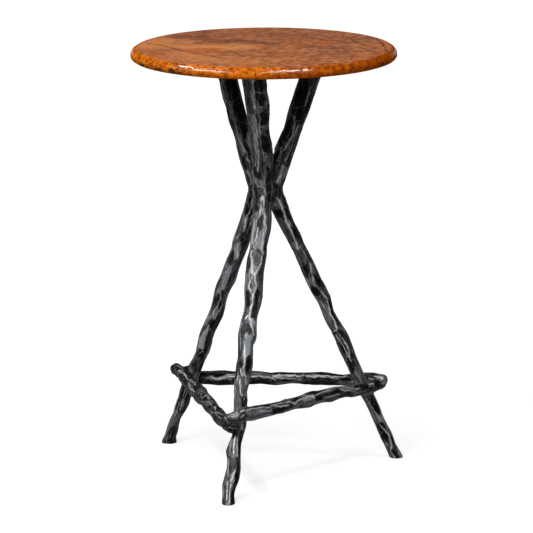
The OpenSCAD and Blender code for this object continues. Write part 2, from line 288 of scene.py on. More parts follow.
# Hammered finish: black scale and grey film by facet, with bright metal rubbed along the ridges between them.
def forgedGroup(grit):
    group, given, out = newGroup(
        "forgedFinish",
        [("Tone", number, 0.4), ("Ridge", number, 0.0), ("Rub", number, 0.0), ("Crease", number, 0.0),
         ("Place", arrow, None),
         ("Scale Black", shade, (0.0035, 0.0035, 0.0038, 1)), ("Iron Grey", shade, (0.076, 0.079, 0.084, 1)),
         ("Worn Grey", shade, (0.245, 0.258, 0.275, 1)), ("Bright Steel", shade, (0.50, 0.51, 0.52, 1))],
        [("Colour", shade), ("Bright", number), ("Roughness", number), ("Height", number)])
    marks = put(group, "ShaderNodeGroup", node_tree=grit)
    group.links.new(given.outputs["Place"], marks.inputs["Place"])
    blotch, streak, fibre, grain = (marks.outputs[key] for key in ("Blotch", "Streak", "Fibre", "Grain"))
    black, grey, worn, steel = (given.outputs[key] for key in ("Scale Black", "Iron Grey", "Worn Grey", "Bright Steel"))
    brushing = blendOf(group, (streak, fibre, grain), wear["brushing"])
    # the facet's own tone, uneven with blotches and brushing
    level = given.outputs["Tone"]
    for unevenness, amount in ((blotch, wear["blotchTone"]), (brushing, wear["brushTone"])):
        level = sums(group, "ADD", level, sums(group, "MULTIPLY", sums(group, "SUBTRACT", unevenness, 0.5), amount))
    colour = tint(group, spread(group, level, *wear["greyFrom"]), black, grey)
    colour = tint(group, spread(group, level, *wear["wornFrom"]), colour, worn)
    # rubbed lines, with the painted highlight on the front nub among them, broken up by the brushing
    ridge = sums(group, "MULTIPLY", given.outputs["Ridge"], wear["ridgeRub"])
    rub = sums(group, "MAXIMUM", given.outputs["Rub"], ridge)
    bright = sums(group, "MULTIPLY", rub, spread(group, brushing, *wear["rubBreaks"]), clamp=True)
    colour = tint(group, bright, colour, steel)
    dark = sums(group, "MULTIPLY", given.outputs["Crease"], wear["creaseBlack"])
    colour = tint(group, dark, colour, black)
    group.links.new(colour, out.inputs["Colour"])
    group.links.new(bright, out.inputs["Bright"])
    rough = spread(group, bright, 0.0, 1.0, *wear["roughness"], smooth=False)
    rough = sums(group, "ADD", rough, spread(group, grain, *noiseRange, *wear["grainRoughness"]))
    group.links.new(rough, out.inputs["Roughness"])
    group.links.new(blendOf(group, (brushing, grain), wear["height"]), out.inputs["Height"])
    return group


ironLook = {"metal": 0.35, "bump": 0.75, "bumpDepth": 0.0017, "specular": 0.02, "grazing": (0.4, 0.4, 0.42, 1)}
weldLook = dict(ironLook, bump=0.8, bumpDepth=0.0018)


def forgedMaterial(name, forged, look):
    material, tree, skin = newMaterial(name)
    finish = put(tree, "ShaderNodeGroup", {
        "Tone": layer(tree, "tone"), "Ridge": layer(tree, "ridge"), "Rub": layer(tree, "rub"),
        "Crease": layer(tree, "crease"), "Place": layer(tree, "barPlace", "Vector")}, node_tree=forged)
    tree.links.new(finish.outputs["Colour"], skin.inputs["Base Color"])
    tree.links.new(finish.outputs["Roughness"], skin.inputs["Roughness"])
    tree.links.new(sums(tree, "MULTIPLY", finish.outputs["Bright"], look["metal"]), skin.inputs["Metallic"])
    skin.inputs["Specular IOR Level"].default_value = look["specular"]
    skin.inputs["Specular Tint"].default_value = look["grazing"]
    addBump(tree, skin, look["bump"], look["bumpDepth"], finish.outputs["Height"])
    return material


grit = gritGroup()
forged = forgedGroup(grit)
hammeredIron = forgedMaterial("hammeredIron", forged, ironLook)
weldIron = forgedMaterial("weldIron", forged, weldLook)
print("iron finishes made")


# ---- iron bars
# Rows are share of the height, wander outward and to the left in mm, and thickness share.
legBar = {
    "thickness": 0.025,
    "footCircle": 0.214,
    "topCircle": 0.085,
    "waistHeight": 0.440,
    "waistCircle": 0.01478,
    "height": 0.637,
    "swell": 0.00065,      # ridges stand this far over the solid model's bar
    "ringStep": 0.0012,
    "sides": 80,
    "soften": 0.006,
    "footRings": [0, 0.0004, 0.001, 0.0018],
    "bevelHeight": 0.0018,
    "bevel": 0.07,         # share of the radius that the foot's edge is eased by
    "evenFrom": 0.003,     # above this, rings lie a ringStep apart
    "apart": 0.00005,      # the least gap to the border of a leg's third of the circle
}
legRows = {
    "front": [270, [
        [0, 2, -2, 0.77], [0.025, 2, -2, 0.69], [0.05, 1, 0, 0.84], [0.10, 2, -1, 0.86],
        [0.13, 1, -1, 0.72], [0.16, 0, 0, 0.77], [0.23, 0, 0, 0.82], [0.31, 0, 0, 0.92],
        [0.335, 2, -2, 0.88], [0.365, 2, -1, 1.08], [0.40, 0, 0, 0.93], [0.43, -2, 1, 0.94],
        [0.46, -2, 0, 1.12], [0.50, -1, 0, 1.12], [0.56, -3, 1, 1.08], [0.63, -2, 2, 1.08],
        [0.691, 0, 0, 1.12], [0.75, 0, 3, 1.20], [0.82, -2, 4, 1.30], [0.90, -3, 5, 1.37],
        [1, 0, 4.5, 1.4]]],
    "left": [150, [
        [0, 4, 0, 0.82], [0.03, 4, 0, 0.66], [0.06, 6, 0, 0.65], [0.10, 3, 0, 0.71],
        [0.13, 5, 0, 0.77], [0.23, 4, 0, 0.79], [0.26, 4, 0, 0.84], [0.295, 7, 0, 0.83],
        [0.33, 4, 0, 0.92], [0.36, 2, 0, 0.86], [0.40, 5, 0, 0.87], [0.43, 6, 0, 0.89],
        [0.46, 5, 0, 0.98], [0.52, 4, 0, 0.94], [0.60, 4, 0, 1.03], [0.64, 3, 0, 1.10],
        [0.691, 0, 0, 1.12], [0.76, 5, 1, 1.14], [0.80, 5, 3, 1.16], [0.88, 6, 4, 1.14],
        [0.92, 5, 3, 1.12], [1, 1, 1, 1.24]]],
    "right": [30, [
        [0, -1, 0, 0.76], [0.03, -1, 0, 0.65], [0.065, 1, 0, 0.70], [0.11, 0, 0, 0.65],
        [0.16, 1, 0, 0.76], [0.25, 2, 0, 0.76], [0.31, 6, 0, 0.82], [0.345, 4, 0, 0.82],
        [0.375, 4, 0, 0.70], [0.405, 6, 0, 0.76], [0.435, 6, 0, 0.96], [0.47, 5, 0, 0.87],
        [0.53, 7, 0, 0.82], [0.57, 6, 0, 0.86], [0.63, 4, 0, 0.98],
        [0.691, 0, 0, 1.12], [0.75, 4, 0, 1.14], [0.80, 5, 0, 1.19], [0.87, 3, 0, 1.20],
        [0.95, 0, 0, 1.21], [1, 0, 0, 1.26]]],
}
# Outline of each bar against its even rows, in mm at mm up the leg or along the stretcher, on two opposite sides.
outlineTrim = {
    "leg_front": [
        (-75.4, [(0, -0.5), (12, 1.2), (24, 3.3), (36, 1.4), (48, -1.4), (60, -1.2), (72, 3), (84, 0.3),
            (96, -3.8), (132, -0.8), (156, 1.9), (192, 1.3), (204, -0.3), (216, -0.8), (240, 1.1), (252, 1.6),
            (264, -0.5), (276, -0.9), (288, -0.7), (300, -0.1), (324, 0.3), (336, 1), (352, 0)]),
        (104.6, [(0, 0.6), (12, -1.4), (24, -1.7), (36, -0.2), (48, 0.6), (60, -0.5), (72, -0.8), (84, -0.7),
            (96, 0), (108, 1.8), (144, -0.5), (156, -3), (192, 1), (204, 0.7), (205, 1.2), (211, 1.5), (214, 1),
            (216, -0.1), (217, 0.3), (220, -0.5), (223, -0.8), (226, 0.5), (228, 0.4), (229, 1.1), (240, 0.9),
            (252, -0.2), (256, -1.2), (259, -1.5), (264, -1.1), (276, 1.1), (288, 1.2), (300, 0.1), (312, -0.7),
            (324, -0.7), (336, 0.2), (348, 0.3), (360, -1.3), (372, 0.2), (384, 1.9), (396, 1.4), (410, 0),
            (440, 0), (470, 0.6), (488, 1.5), (516, 0.4), (528, -1.9), (540, -2.4), (552, -1.9), (564, 0.2),
            (576, 1.3), (600, 0.1), (612, 1.4)])],
    "leg_left": [
        (44.6, [(0, -0.5), (12, -0.1), (24, 0.9), (48, -0.9), (60, 1.1), (84, 0.1), (96, 0.7), (132, 1.6),
            (144, -0.3), (156, -1.9), (180, 0.1), (204, 0.1), (216, -0.2), (228, 0.4), (252, 0.8), (264, 1.6),
            (276, 1.2), (288, 0.2), (312, 0.6), (336, -0.8), (348, 1.1), (360, 1.3), (372, 0.3), (384, -0.1),
            (396, -0.2), (420, 0.5), (432, -0.2), (444, 0.3), (456, 1.4), (480, 2.3), (504, 0.4), (516, -1.3),
            (528, -1.1), (540, 0.2), (552, -0.2), (564, -0.9), (576, 1), (588, 0.5), (600, -0.7)]),
        (224.6, [(0, 4.6), (12, 0.8), (24, 0.5), (36, -0.6), (48, -2.2), (60, -1), (72, 0.8), (86, 0), (130, 0),
            (144, -0.3), (156, 1), (180, 1.5), (192, 0.5), (204, -1.6), (228, -0.3), (240, -0.2), (252, -1.3),
            (264, -1.8), (276, -0.4), (288, 0.5), (300, -0.6), (312, -1.1), (350, 0)])],
    "leg_right": [
        (-195.4, [(12, 0.2), (24, 0.7), (36, 1.8), (48, 1.2), (60, -0.1), (72, -0.6), (84, -1.5), (96, -1.5),
            (110, 0), (142, 0), (156, -0.9), (168, -0.1), (180, 1.2), (192, 1.8), (204, 0.1), (216, -0.6),
            (228, 0.9), (240, 0.7), (252, 0.1), (264, -0.1), (288, 0.3), (300, -0.3), (312, 0.3), (324, 0.6),
            (348, 0.3), (360, -0.1), (396, 0), (410, 0), (440, 0), (470, 0.4), (486, 1.5), (490, 0), (496, 1.9),
            (504, 1.6), (516, 0.2), (528, -2), (552, 0.5), (588, 1), (600, 1.1)]),
        (-15.4, [(0, -0.5), (36, 0), (48, -0.5), (60, -0.5), (84, 1.5), (110, 0), (130, 0), (144, 0.2), (180, 0.2),
            (192, 0.3), (204, 0.7), (216, -0.4), (228, -1.1), (240, -0.9), (264, 1.7), (276, 0.1), (288, -0.7),
            (300, 0.7), (324, 0.8), (336, 0), (348, -1.1), (360, 0.3), (372, 0.5), (384, -0.6), (396, -0.4),
            (408, 1.5), (420, 1.5), (432, -0.2), (444, -0.9), (456, 1.2), (468, 1.2), (480, 0.3), (504, -0.9),
            (540, -1.3), (576, 0.3), (588, 0.2), (600, -0.6), (624, 0)])],
    "stretcher_back": [
        (258.6, [(60, 1.2), (72, 2.2), (84, 2.1), (96, 1.7), (132, 1.3), (144, 0.5), (168, 0.8), (192, -0.8),
            (204, -0.4), (216, 1.2), (228, 1.6), (240, 1.1)]),
        (78.6, [(48, -0.6), (60, -0.4), (72, 0.4), (84, 0.6), (96, -0.5), (132, 1), (144, 0.7), (156, -0.8),
            (180, 1.1), (192, 0.7), (204, -0.3), (216, -1), (228, -1.1), (240, 0.6), (252, 0.9), (264, -0.1),
            (276, -1.8), (312, 1.1), (324, 0.9), (336, -1.4)])],
    "stretcher_left": [
        (-39.7, [(0, -2.2), (24, 1.7), (36, 1.4), (60, 1.5), (72, 1.3), (84, -0.3), (96, -0.9), (108, -0.4),
            (120, -0.4), (132, -1), (144, -1.3), (156, -3.4), (168, -1.4), (180, 1.6), (192, 1.8), (204, -0.5),
            (216, -4), (230, 0), (274, 0), (288, -0.2), (300, -3.1), (312, -2.9), (324, -3.5), (336, -4.6),
            (348, -2.5)]),
        (140.3, [(60, -4.1), (72, -1.6), (84, -0.9), (96, -0.6), (108, -1.8), (132, 0.1), (156, 0.8), (180, 0),
            (192, 0.8), (204, 2.9), (216, 2.2), (228, 2.1), (242, 0), (310, 0), (324, 1.7), (336, 0.2), (348, 1.3)])],
    "stretcher_right": [
        (-73.2, [(12, -2.4), (26, 0), (46, 0), (60, -1.2), (72, -1.8), (84, -3.1), (96, -1.4), (108, 1.1),
            (120, 2), (132, 0.5), (144, -1.7), (156, -0.5), (168, 3.1), (180, 2.5), (192, 1.1), (204, 0.4),
            (228, 0.4), (240, -1.2), (264, -0.9), (276, 0), (288, 0.6), (300, -0.5)]),
        (106.8, [(144, -2.1), (156, 0.8), (168, 1.6), (192, -1), (204, -0.8), (216, 0), (228, -0.8), (264, -1.2),
            (276, -1.2), (288, -0.9), (302, 0), (322, -2), (329, -3.3), (336, -4.2), (337, -6)])],
}
# Faint hammer marks in staggered rows, under the work listed below.
longMarks = {"pitch": 0.027, "width": 0.0125, "long": (0.012, 0.028), "wide": (0.0045, 0.0080),
             "deep": (0.0003, 0.0010), "skew": 0.15}
shortMarks = {"pitch": 0.0165, "width": 0.0135, "long": (0.0070, 0.0125), "wide": (0.0050, 0.0085),
              "deep": (0.0004, 0.0012), "skew": 0.5}
scatter = {"along": 0.45, "round": 0.3, "tone": 0.13}    # how far chance moves a mark in its row, and changes its tone
# Work on the visible sides, read off the bars one by one. Places are mm up a leg or mm along a stretcher, and
# angles are degrees round from the bar's outer side. The first list is the tone between the facets, place by place; on
# the legs it also drops towards the top as painted shade of the table top. Facets: place, angle, half length, half
# width
# and depth in mm, tone. Then lines: half width in mm, strength, then points as (place, angle); rubbed lines, some of
# them painted highlights, and creases.
handWork = {
    "leg_front": {
        # low tones towards the top: painted shade of the table top
        "bareToneAndShade": [(0, 0.52), (60, 0.50), (110, 0.40), (150, 0.60), (350, 0.60), (400, 0.42), (440, 0.24),
            (500, 0.23), (637, 0.19)],
        "facets": [
            [622, 38, 13, 8.0, 2.4, 0.12], [599, 38, 9, 7.0, 2.2, 0.05], [566, 38, 12, 7.5, 2.6, 0.03],
            [524, 38, 16, 8.5, 2.6, 0.04], [606, -40, 34, 7.0, 1.0, 0.16], [545, -42, 26, 6.0, 1.0, 0.25],
            [505, -40, 18, 6.0, 1.0, 0.25], [635, 12, 9, 4.5, 0.6, 0.62], [582, 24, 6, 3.5, 0.4, 0.55],
            [550, 24, 6, 5.0, 0.8, 0.42], [503, 25, 8, 6.0, 1.0, 0.35], [476, -30, 12, 5.0, 1.2, 0.20],
            [478, 20, 12, 5.0, 1.0, 0.30], [467, 60, 14, 6.0, 1.6, 0.05], [448, 60, 9, 6.0, 1.5, 0.10],
            [431, 62, 9, 5.0, 1.5, 0.05], [444, 8, 7, 6.0, 0.8, 0.35], [439, -20, 6, 5.0, 1.0, 0.10],
            [420, -35, 12, 6.0, 1.2, 0.22], [420, 50, 16, 5.0, 1.2, 0.25], [391, 6, 13, 4.2, 1.4, 0.30],
            [368, 28, 15, 4.5, 0.6, 1.10], [356, -14, 9, 3.5, 0.6, 0.98], [377, -48, 18, 5.0, 0.8, 0.92],
            [394, 66, 24, 4.5, 1.0, 0.55], [360, 62, 9, 3.5, 1.0, 0.12], [337, 14, 9, 5.5, 1.6, 0.67],
            [323, 2, 7, 6.0, 0.5, 1.04], [333, -38, 16, 5.0, 1.2, 0.25], [328, 64, 20, 5.0, 1.2, 0.28],
            [300, 18, 9, 3.8, 1.0, 0.67], [301, 2, 9, 2.5, 0.8, 0.55], [280, -22, 14, 5.5, 1.6, 0.10],
            [273, 40, 22, 5.5, 1.8, 0.02], [284, 76, 20, 4.0, 0.8, 0.61], [256, -28, 8, 5.0, 0.9, 0.40],
            [249, 32, 7, 4.0, 0.5, 1.04], [239, 4, 8, 8.5, 2.0, 0.30], [218, 30, 16, 5.0, 0.8, 1.22],
            [220, 4, 14, 4.0, 0.6, 0.67], [214, -35, 24, 5.0, 1.0, 0.30], [191, 44, 14, 5.0, 2.0, 0.00],
            [188, -26, 12, 6.0, 1.2, 0.22], [199, 78, 24, 4.0, 0.8, 0.55], [194, -60, 24, 5.0, 1.0, 0.28],
            [162, 14, 13, 7.5, 1.6, 0.51], [148, -30, 14, 6.0, 1.0, 0.51], [137, 38, 10, 6.0, 1.6, 0.02],
            [136, 0, 8, 6.0, 1.0, 0.61], [92, -22, 6, 7.0, 1.4, 0.03], [82, 60, 18, 6.0, 1.4, 0.03],
            [76, 4, 11, 5.5, 0.8, 0.55], [72, 34, 11, 4.0, 0.6, 0.70], [69, -50, 12, 6.0, 0.8, 0.45],
            [48, 10, 13, 8.0, 0.9, 0.55], [49, 60, 14, 5.0, 1.2, 0.15], [35, 19, 8, 6.5, 0.5, 1.00],
            [34, 54, 12, 5.5, 1.6, 0.00], [36, -30, 10, 6.0, 0.8, 0.60], [12, -20, 14, 7.0, 1.0, 0.38],
            [10, 20, 12, 4.0, 0.7, 0.65], [9, 56, 14, 6.0, 1.4, 0.10]],
        "rubsAndHighlights": [
            [1.2, 0.51, (637, 14), (612, 8), (591, 6), (570, 0), (550, -3), (529, -3), (508, -1), (487, -10),
             (477, -14)], [0.9, 0.42, (574, -12), (554, -16), (528, -20), (507, -24), (486, -30)],
            [0.9, 0.37, (597, 18), (581, 22), (558, 18), (540, 12), (514, 14), (507, 22), (498, 32), (487, 42)],
            [0.8, 0.37, (612, 20), (607, 60)], [0.8, 0.33, (589, 20), (583, 60)], [0.8, 0.33, (554, 22), (547, 66)],
            [0.8, 0.28, (543, 22), (534, 66)], [0.8, 0.33, (509, 16), (499, 50)],
            [0.9, 0.68, (459, -30), (450, -10), (453, 10), (448, 30), (436, 40)],
            [1.4, 1.09, (434, 14), (420, 10), (404, -2), (394, -18), (384, -33), (371, -42), (361, -36)],
            [1.5, 1.14, (434, 22), (411, 20), (393, 33), (381, 43), (368, 38), (356, 34), (347, 44)],
            [0.9, 1.03, (383, -6), (370, -6), (358, -2), (350, 0)], [1.1, 0.96, (399, -30), (384, -50), (369, -58)],
            [1.4, 1.09, (348, -34), (337, -20), (327, -12), (319, -4), (313, 6)],
            [1.2, 0.96, (345, 48), (333, 44), (323, 30), (315, 12)],
            [1.2, 1.09, (315, 6), (310, -4), (302, -13), (296, -12), (289, 6)],
            [1.2, 1.09, (317, 10), (308, 24), (301, 31), (293, 26), (288, 16)],
            [0.8, 0.68, (310, 8), (302, 10), (293, 8)],
            [1.9, 1.14, (289, 14), (277, 11), (267, 8), (259, 9), (253, 16)],
            [1.4, 1.09, (259, 2), (255, -14), (253, -20)], [1.2, 1.14, (253, 26), (245, 34), (239, 48), (234, 60)],
            [0.9, 0.68, (250, -40), (238, -44), (226, -36), (211, -30)],
            [1.8, 1.14, (210, 12), (198, 10), (186, 11), (178, 17), (172, 32), (164, 46)],
            [1.2, 0.96, (233, 14), (223, 6), (212, 8)], [1.1, 0.82, (184, -14), (178, -6), (174, 6)],
            [1.1, 0.82, (180, -28), (169, -36), (157, -42)],
            [1.1, 0.96, (170, -10), (158, -4), (150, 4), (147, 20), (143, 42)], [0.9, 0.68, (159, -60), (144, -50)],
            [1.4, 1.03, (90, 0), (78, 2), (67, 10)], [1.1, 0.82, (86, 30), (74, 36), (64, 46)],
            [0.9, 0.68, (88, -30), (78, -26), (64, -20)], [1.1, 0.82, (59, -34), (46, -28), (36, -16)],
            [1.8, 1.14, (44, 26), (36, 20), (30, 8)], [1.2, 0.96, (28, -16), (16, -10), (4, -6)],
            [1.4, 1.14, (24, 10), (12, 20), (0, 24)], [0.9, 0.68, (23, -50), (7, -44)]],
        "creases": [
            [1.0, 0.90, (352, -60), (351, -20), (349, 8), (346, 34), (343, 56)],
            [1.0, 0.80, (251, -46), (246, -8), (243, 22), (237, 44)],
            [0.8, 0.80, (431, 55), (409, 62), (384, 58), (364, 66)], [0.7, 0.70, (174, 8), (170, 34), (162, 48)],
            [0.7, 0.60, (62, -20), (60, 20), (62, 50)], [0.7, 0.50, (420, -44), (399, -40)]]},
    "leg_left": {
        # low tones towards the top: painted shade of the table top
        "bareToneAndShade": [(0, 0.20), (60, 0.26), (130, 0.31), (200, 0.32), (350, 0.30), (400, 0.26), (440, 0.16),
            (500, 0.14), (637, 0.18)],
        "facets": [
            [584, 152, 24, 9.5, 2.0, 0.00], [554, 160, 24, 9.0, 2.0, 0.00], [524, 146, 16, 6.0, 1.8, 0.00],
            [498, 131, 14, 3.5, 1.4, 0.00], [559, 98, 24, 6.0, 1.0, 0.21], [584, 86, 12, 5.0, 0.8, 0.24],
            [539, 92, 12, 6.0, 1.0, 0.17], [505, 98, 14, 4.0, 0.8, 0.35], [505, 165, 16, 6.0, 0.8, 0.35],
            [477, 112, 10, 3.0, 1.0, 0.21], [474, 140, 10, 4.0, 1.2, 0.07], [455, 106, 10, 4.0, 0.6, 0.39],
            [455, 150, 10, 5.0, 0.8, 0.24], [443, 130, 6, 7.0, 0.8, 0.21], [437, 150, 8, 6.0, 1.0, 0.20],
            [435, 105, 12, 5.0, 1.2, 0.12], [404, 104, 10, 4.0, 1.8, 0.02], [412, 127, 22, 3.4, 1.6, 0.04],
            [391, 108, 12, 4.0, 0.6, 0.60], [387, 135, 12, 4.0, 1.4, 0.12], [368, 136, 10, 7.0, 1.0, 0.15],
            [381, 160, 24, 6.0, 1.0, 0.30], [339, 122, 15, 4.5, 0.8, 0.85], [350, 160, 16, 6.0, 1.2, 0.20],
            [327, 95, 12, 5.0, 1.6, 0.05], [324, 150, 10, 6.0, 1.0, 0.25], [294, 119, 20, 5.2, 0.9, 0.90],
            [296, 150, 24, 6.0, 1.2, 0.22], [264, 136, 6, 5.0, 1.8, 0.00], [248, 146, 11, 5.0, 1.6, 0.05],
            [236, 120, 12, 5.0, 0.6, 0.85], [255, 108, 12, 4.0, 1.0, 0.20], [240, 95, 14, 4.0, 1.0, 0.25],
            [217, 128, 9, 8.0, 1.2, 0.05], [220, 165, 24, 6.0, 1.2, 0.20], [185, 118, 20, 6.0, 0.8, 1.00],
            [190, 152, 22, 6.0, 1.2, 0.22], [163, 128, 9, 8.0, 1.2, 0.06], [145, 120, 12, 8.0, 1.0, 0.25],
            [144, 160, 12, 6.0, 1.0, 0.25], [89, 104, 12, 4.5, 1.4, 0.08], [88, 151, 14, 5.0, 1.6, 0.03],
            [65, 116, 5, 3.5, 1.2, 0.06], [73, 135, 12, 4.0, 0.6, 0.45], [66, 165, 12, 5.0, 1.2, 0.15],
            [47, 125, 14, 9.0, 0.8, 0.55], [42, 165, 12, 5.0, 1.0, 0.30], [18, 143, 13, 8.0, 1.6, 0.04],
            [18, 105, 14, 5.0, 1.0, 0.30]],
        "rubsAndHighlights": [
            [1.1, 0.41, (600, 80), (580, 78), (569, 84)],
            [1.2, 0.49, (522, 88), (508, 108), (496, 120), (479, 124)],
            [0.9, 0.41, (519, 170), (505, 152), (490, 165), (477, 172)],
            [0.9, 0.41, (470, 98), (453, 106), (446, 100)], [0.9, 0.37, (474, 150), (460, 146), (449, 158)],
            [0.9, 0.60, (447, 118), (443, 136), (439, 150)], [0.8, 0.60, (431, 112), (415, 118), (399, 112)],
            [0.9, 0.60, (422, 138), (402, 142), (384, 150)], [1.2, 0.78, (398, 104), (386, 110), (374, 120)],
            [1.1, 0.72, (351, 108), (341, 124), (328, 142)],
            [0.9, 0.60, (269, 118), (255, 128), (245, 116), (235, 102), (228, 110)],
            [0.8, 0.54, (267, 150), (250, 160), (237, 150)], [0.9, 0.60, (212, 112), (204, 108)],
            [0.8, 0.60, (168, 140), (163, 120)], [0.9, 0.66, (99, 108), (87, 118), (77, 122), (63, 128)],
            [0.8, 0.60, (97, 135), (83, 136), (71, 140)], [0.9, 0.60, (74, 92), (63, 100), (49, 106)],
            [0.9, 0.48, (31, 96), (16, 100), (7, 104)], [0.8, 0.48, (24, 128), (13, 132)]],
        "creases": [
            [0.8, 0.60, (273, 110), (269, 150)], [0.8, 0.60, (224, 100), (223, 150)],
            [0.8, 0.50, (30, 100), (29, 165)]]},
    "leg_right": {
        # low tones towards the top: painted shade of the table top
        "bareToneAndShade": [(0, 0.48), (60, 0.50), (130, 0.38), (250, 0.33), (380, 0.35), (440, 0.30), (500, 0.25), (637, 0.20)],
        "facets": [
            [582, -120, 28, 9.0, 2.0, 0.00], [557, -105, 16, 9.0, 1.6, 0.04], [526, -142, 24, 6.0, 1.6, 0.00],
            [602, -85, 20, 6.0, 0.8, 0.18], [571, -70, 22, 5.0, 1.0, 0.12], [522, -112, 20, 4.5, 1.0, 0.15],
            [517, -85, 22, 5.0, 0.8, 0.30], [492, -112, 14, 3.0, 1.0, 0.12], [486, -140, 14, 5.0, 1.2, 0.15],
            [491, -78, 14, 4.0, 1.0, 0.22], [467, -86, 12, 4.5, 0.8, 0.50], [462, -115, 12, 5.0, 1.2, 0.20],
            [439, -100, 14, 6.0, 1.2, 0.12], [433, -70, 16, 5.0, 1.0, 0.20], [405, -120, 11, 6.0, 2.0, 0.00],
            [383, -132, 26, 6.0, 1.0, 0.18], [419, -88, 16, 4.0, 0.8, 0.50], [387, -92, 10, 5.0, 0.8, 0.60],
            [398, -64, 18, 5.0, 1.2, 0.12], [368, -66, 18, 5.0, 1.2, 0.12], [353, -108, 9, 6.0, 0.7, 0.60],
            [333, -135, 20, 7.0, 1.0, 0.25], [338, -110, 14, 4.0, 1.0, 0.20], [331, -66, 16, 4.0, 1.0, 0.20],
            [315, -120, 12, 8.0, 1.2, 0.12], [313, -85, 9, 5.0, 0.7, 0.45], [293, -104, 9, 5.0, 0.8, 0.70],
            [291, -72, 12, 5.0, 1.2, 0.10], [279, -130, 12, 6.0, 1.4, 0.08], [284, -88, 7, 4.0, 1.0, 0.20],
            [265, -100, 11, 6.0, 1.0, 0.30], [247, -128, 12, 6.0, 0.7, 0.55], [241, -100, 14, 5.0, 0.9, 0.55],
            [242, -62, 26, 4.0, 1.2, 0.08], [225, -112, 9, 6.0, 0.8, 0.45], [208, -128, 9, 5.0, 1.6, 0.04],
            [203, -90, 13, 4.5, 1.8, 0.00], [193, -104, 12, 4.0, 1.0, 0.25], [183, -132, 14, 5.0, 1.2, 0.12],
            [185, -104, 9, 3.5, 1.2, 0.12], [175, -112, 6, 6.0, 0.6, 0.75], [173, -84, 10, 4.5, 1.6, 0.05],
            [192, -62, 18, 4.0, 1.0, 0.20], [161, -100, 8, 6.0, 1.2, 0.20], [154, -130, 10, 6.0, 1.0, 0.15],
            [98, -105, 8, 6.0, 1.0, 0.30], [95, -80, 10, 5.0, 1.4, 0.08], [82, -74, 12, 5.0, 1.8, 0.00],
            [71, -104, 12, 6.5, 0.8, 0.75], [74, -132, 14, 5.0, 0.8, 0.45], [57, -92, 7, 5.0, 1.6, 0.03],
            [52, -130, 10, 6.0, 1.2, 0.15], [40, -122, 12, 7.0, 1.2, 0.15], [43, -84, 7, 5.0, 1.0, 0.35],
            [27, -92, 9, 6.0, 0.8, 0.55], [24, -64, 14, 4.0, 1.0, 0.20], [10, -102, 8, 7.0, 1.6, 0.04],
            [14, -134, 10, 5.0, 1.0, 0.30]],
        "rubsAndHighlights": [
            [1.1, 0.33, (598, -88), (581, -80), (570, -84)],
            [0.9, 0.37, (549, -116), (537, -104), (524, -98), (514, -106), (499, -116), (481, -122)],
            [1.1, 0.41, (537, -84), (517, -86), (501, -80), (483, -84)], [0.9, 0.33, (501, -132), (481, -136)],
            [1.4, 0.61, (478, -92), (467, -84), (460, -88), (452, -94)],
            [1.2, 0.72, (428, -98), (416, -80), (404, -84), (394, -96), (383, -91), (373, -93), (363, -106),
             (353, -102)], [1.1, 0.72, (359, -120), (348, -112), (349, -92), (338, -82), (325, -72)],
            [0.9, 0.60, (391, -76), (379, -72)],
            [1.2, 0.78, (321, -72), (311, -82), (303, -94), (293, -106), (287, -114)],
            [1.1, 0.72, (288, -104), (280, -94), (271, -86), (265, -80)],
            [1.1, 0.54, (272, -142), (258, -130), (249, -114), (241, -108), (231, -114)],
            [1.4, 1.00, (267, -72), (259, -74), (249, -80), (239, -90), (229, -86), (219, -94), (215, -112),
             (215, -134)], [1.1, 0.84, (211, -110), (201, -102), (193, -94), (187, -84), (177, -90), (168, -101)],
            [1.1, 0.72, (208, -138), (195, -122), (181, -113), (169, -102), (163, -100)],
            [0.9, 0.60, (175, -124), (171, -110)], [0.9, 0.60, (103, -116), (95, -112), (87, -116)],
            [1.1, 0.72, (87, -104), (77, -96), (67, -90), (61, -84)],
            [1.2, 0.78, (58, -118), (49, -96), (40, -78), (32, -78), (24, -88), (19, -112), (12, -132), (3, -118)],
            [0.9, 0.48, (78, -140), (64, -136)]],
        "creases": [
            [0.8, 0.70, (216, -140), (211, -112), (213, -80)], [0.8, 0.60, (355, -60), (348, -50)]]},
    "stretcher_left": {
        "bareToneAndShade": [(0, -0.03), (100, -0.02), (350, 0.04)],
        # The first three facets, dark along the top at the start, are painted shadow of the right stretcher crossing
        # above.
        "facets": [
            [9, 42, 12, 6.9, 1.6, -0.15], [0, 70, 14, 6.9, 1.4, -0.15], [35, 80, 17, 6.9, 1.4, -0.15],
            [32, 45, 12, 5.0, 1.0, 0.19], [31, 20, 12, 5.0, 1.0, 0.20], [59, 60, 10, 4.0, 1.0, 0.19],
            [61, 40, 10, 4.6, 1.2, -0.15], [84, 75, 12, 6.9, 2.2, -0.15], [84, 48, 10, 5.8, 1.8, -0.15],
            [99, 70, 6, 5.0, 0.6, 0.37], [109, 72, 10, 5.8, 1.8, -0.15], [109, 40, 10, 5.8, 1.4, -0.15],
            [125, 58, 9, 6.0, 0.7, 0.37], [102, 20, 14, 5.0, 1.2, 0.20], [145, 60, 11, 8.0, 2.6, -0.15],
            [158, 88, 8, 4.0, 0.6, 0.37], [143, 20, 10, 5.0, 1.0, 0.19], [159, 62, 8, 4.6, 1.8, -0.15],
            [157, 30, 12, 5.0, 1.0, 0.22], [180, 66, 10, 6.0, 0.7, 0.40], [204, 60, 13, 8.0, 2.4, -0.15],
            [193, 88, 12, 4.0, 0.8, 0.25], [175, 30, 12, 5.0, 1.2, 0.25], [225, 38, 14, 4.0, 0.6, 0.46],
            [238, 72, 14, 5.0, 1.0, 0.25], [260, 34, 14, 6.9, 1.4, -0.15], [247, 55, 8, 4.0, 0.8, 0.31],
            [281, 92, 22, 5.8, 1.4, -0.15], [281, 62, 10, 4.0, 0.8, 0.25], [303, 56, 9, 6.0, 0.6, 0.56],
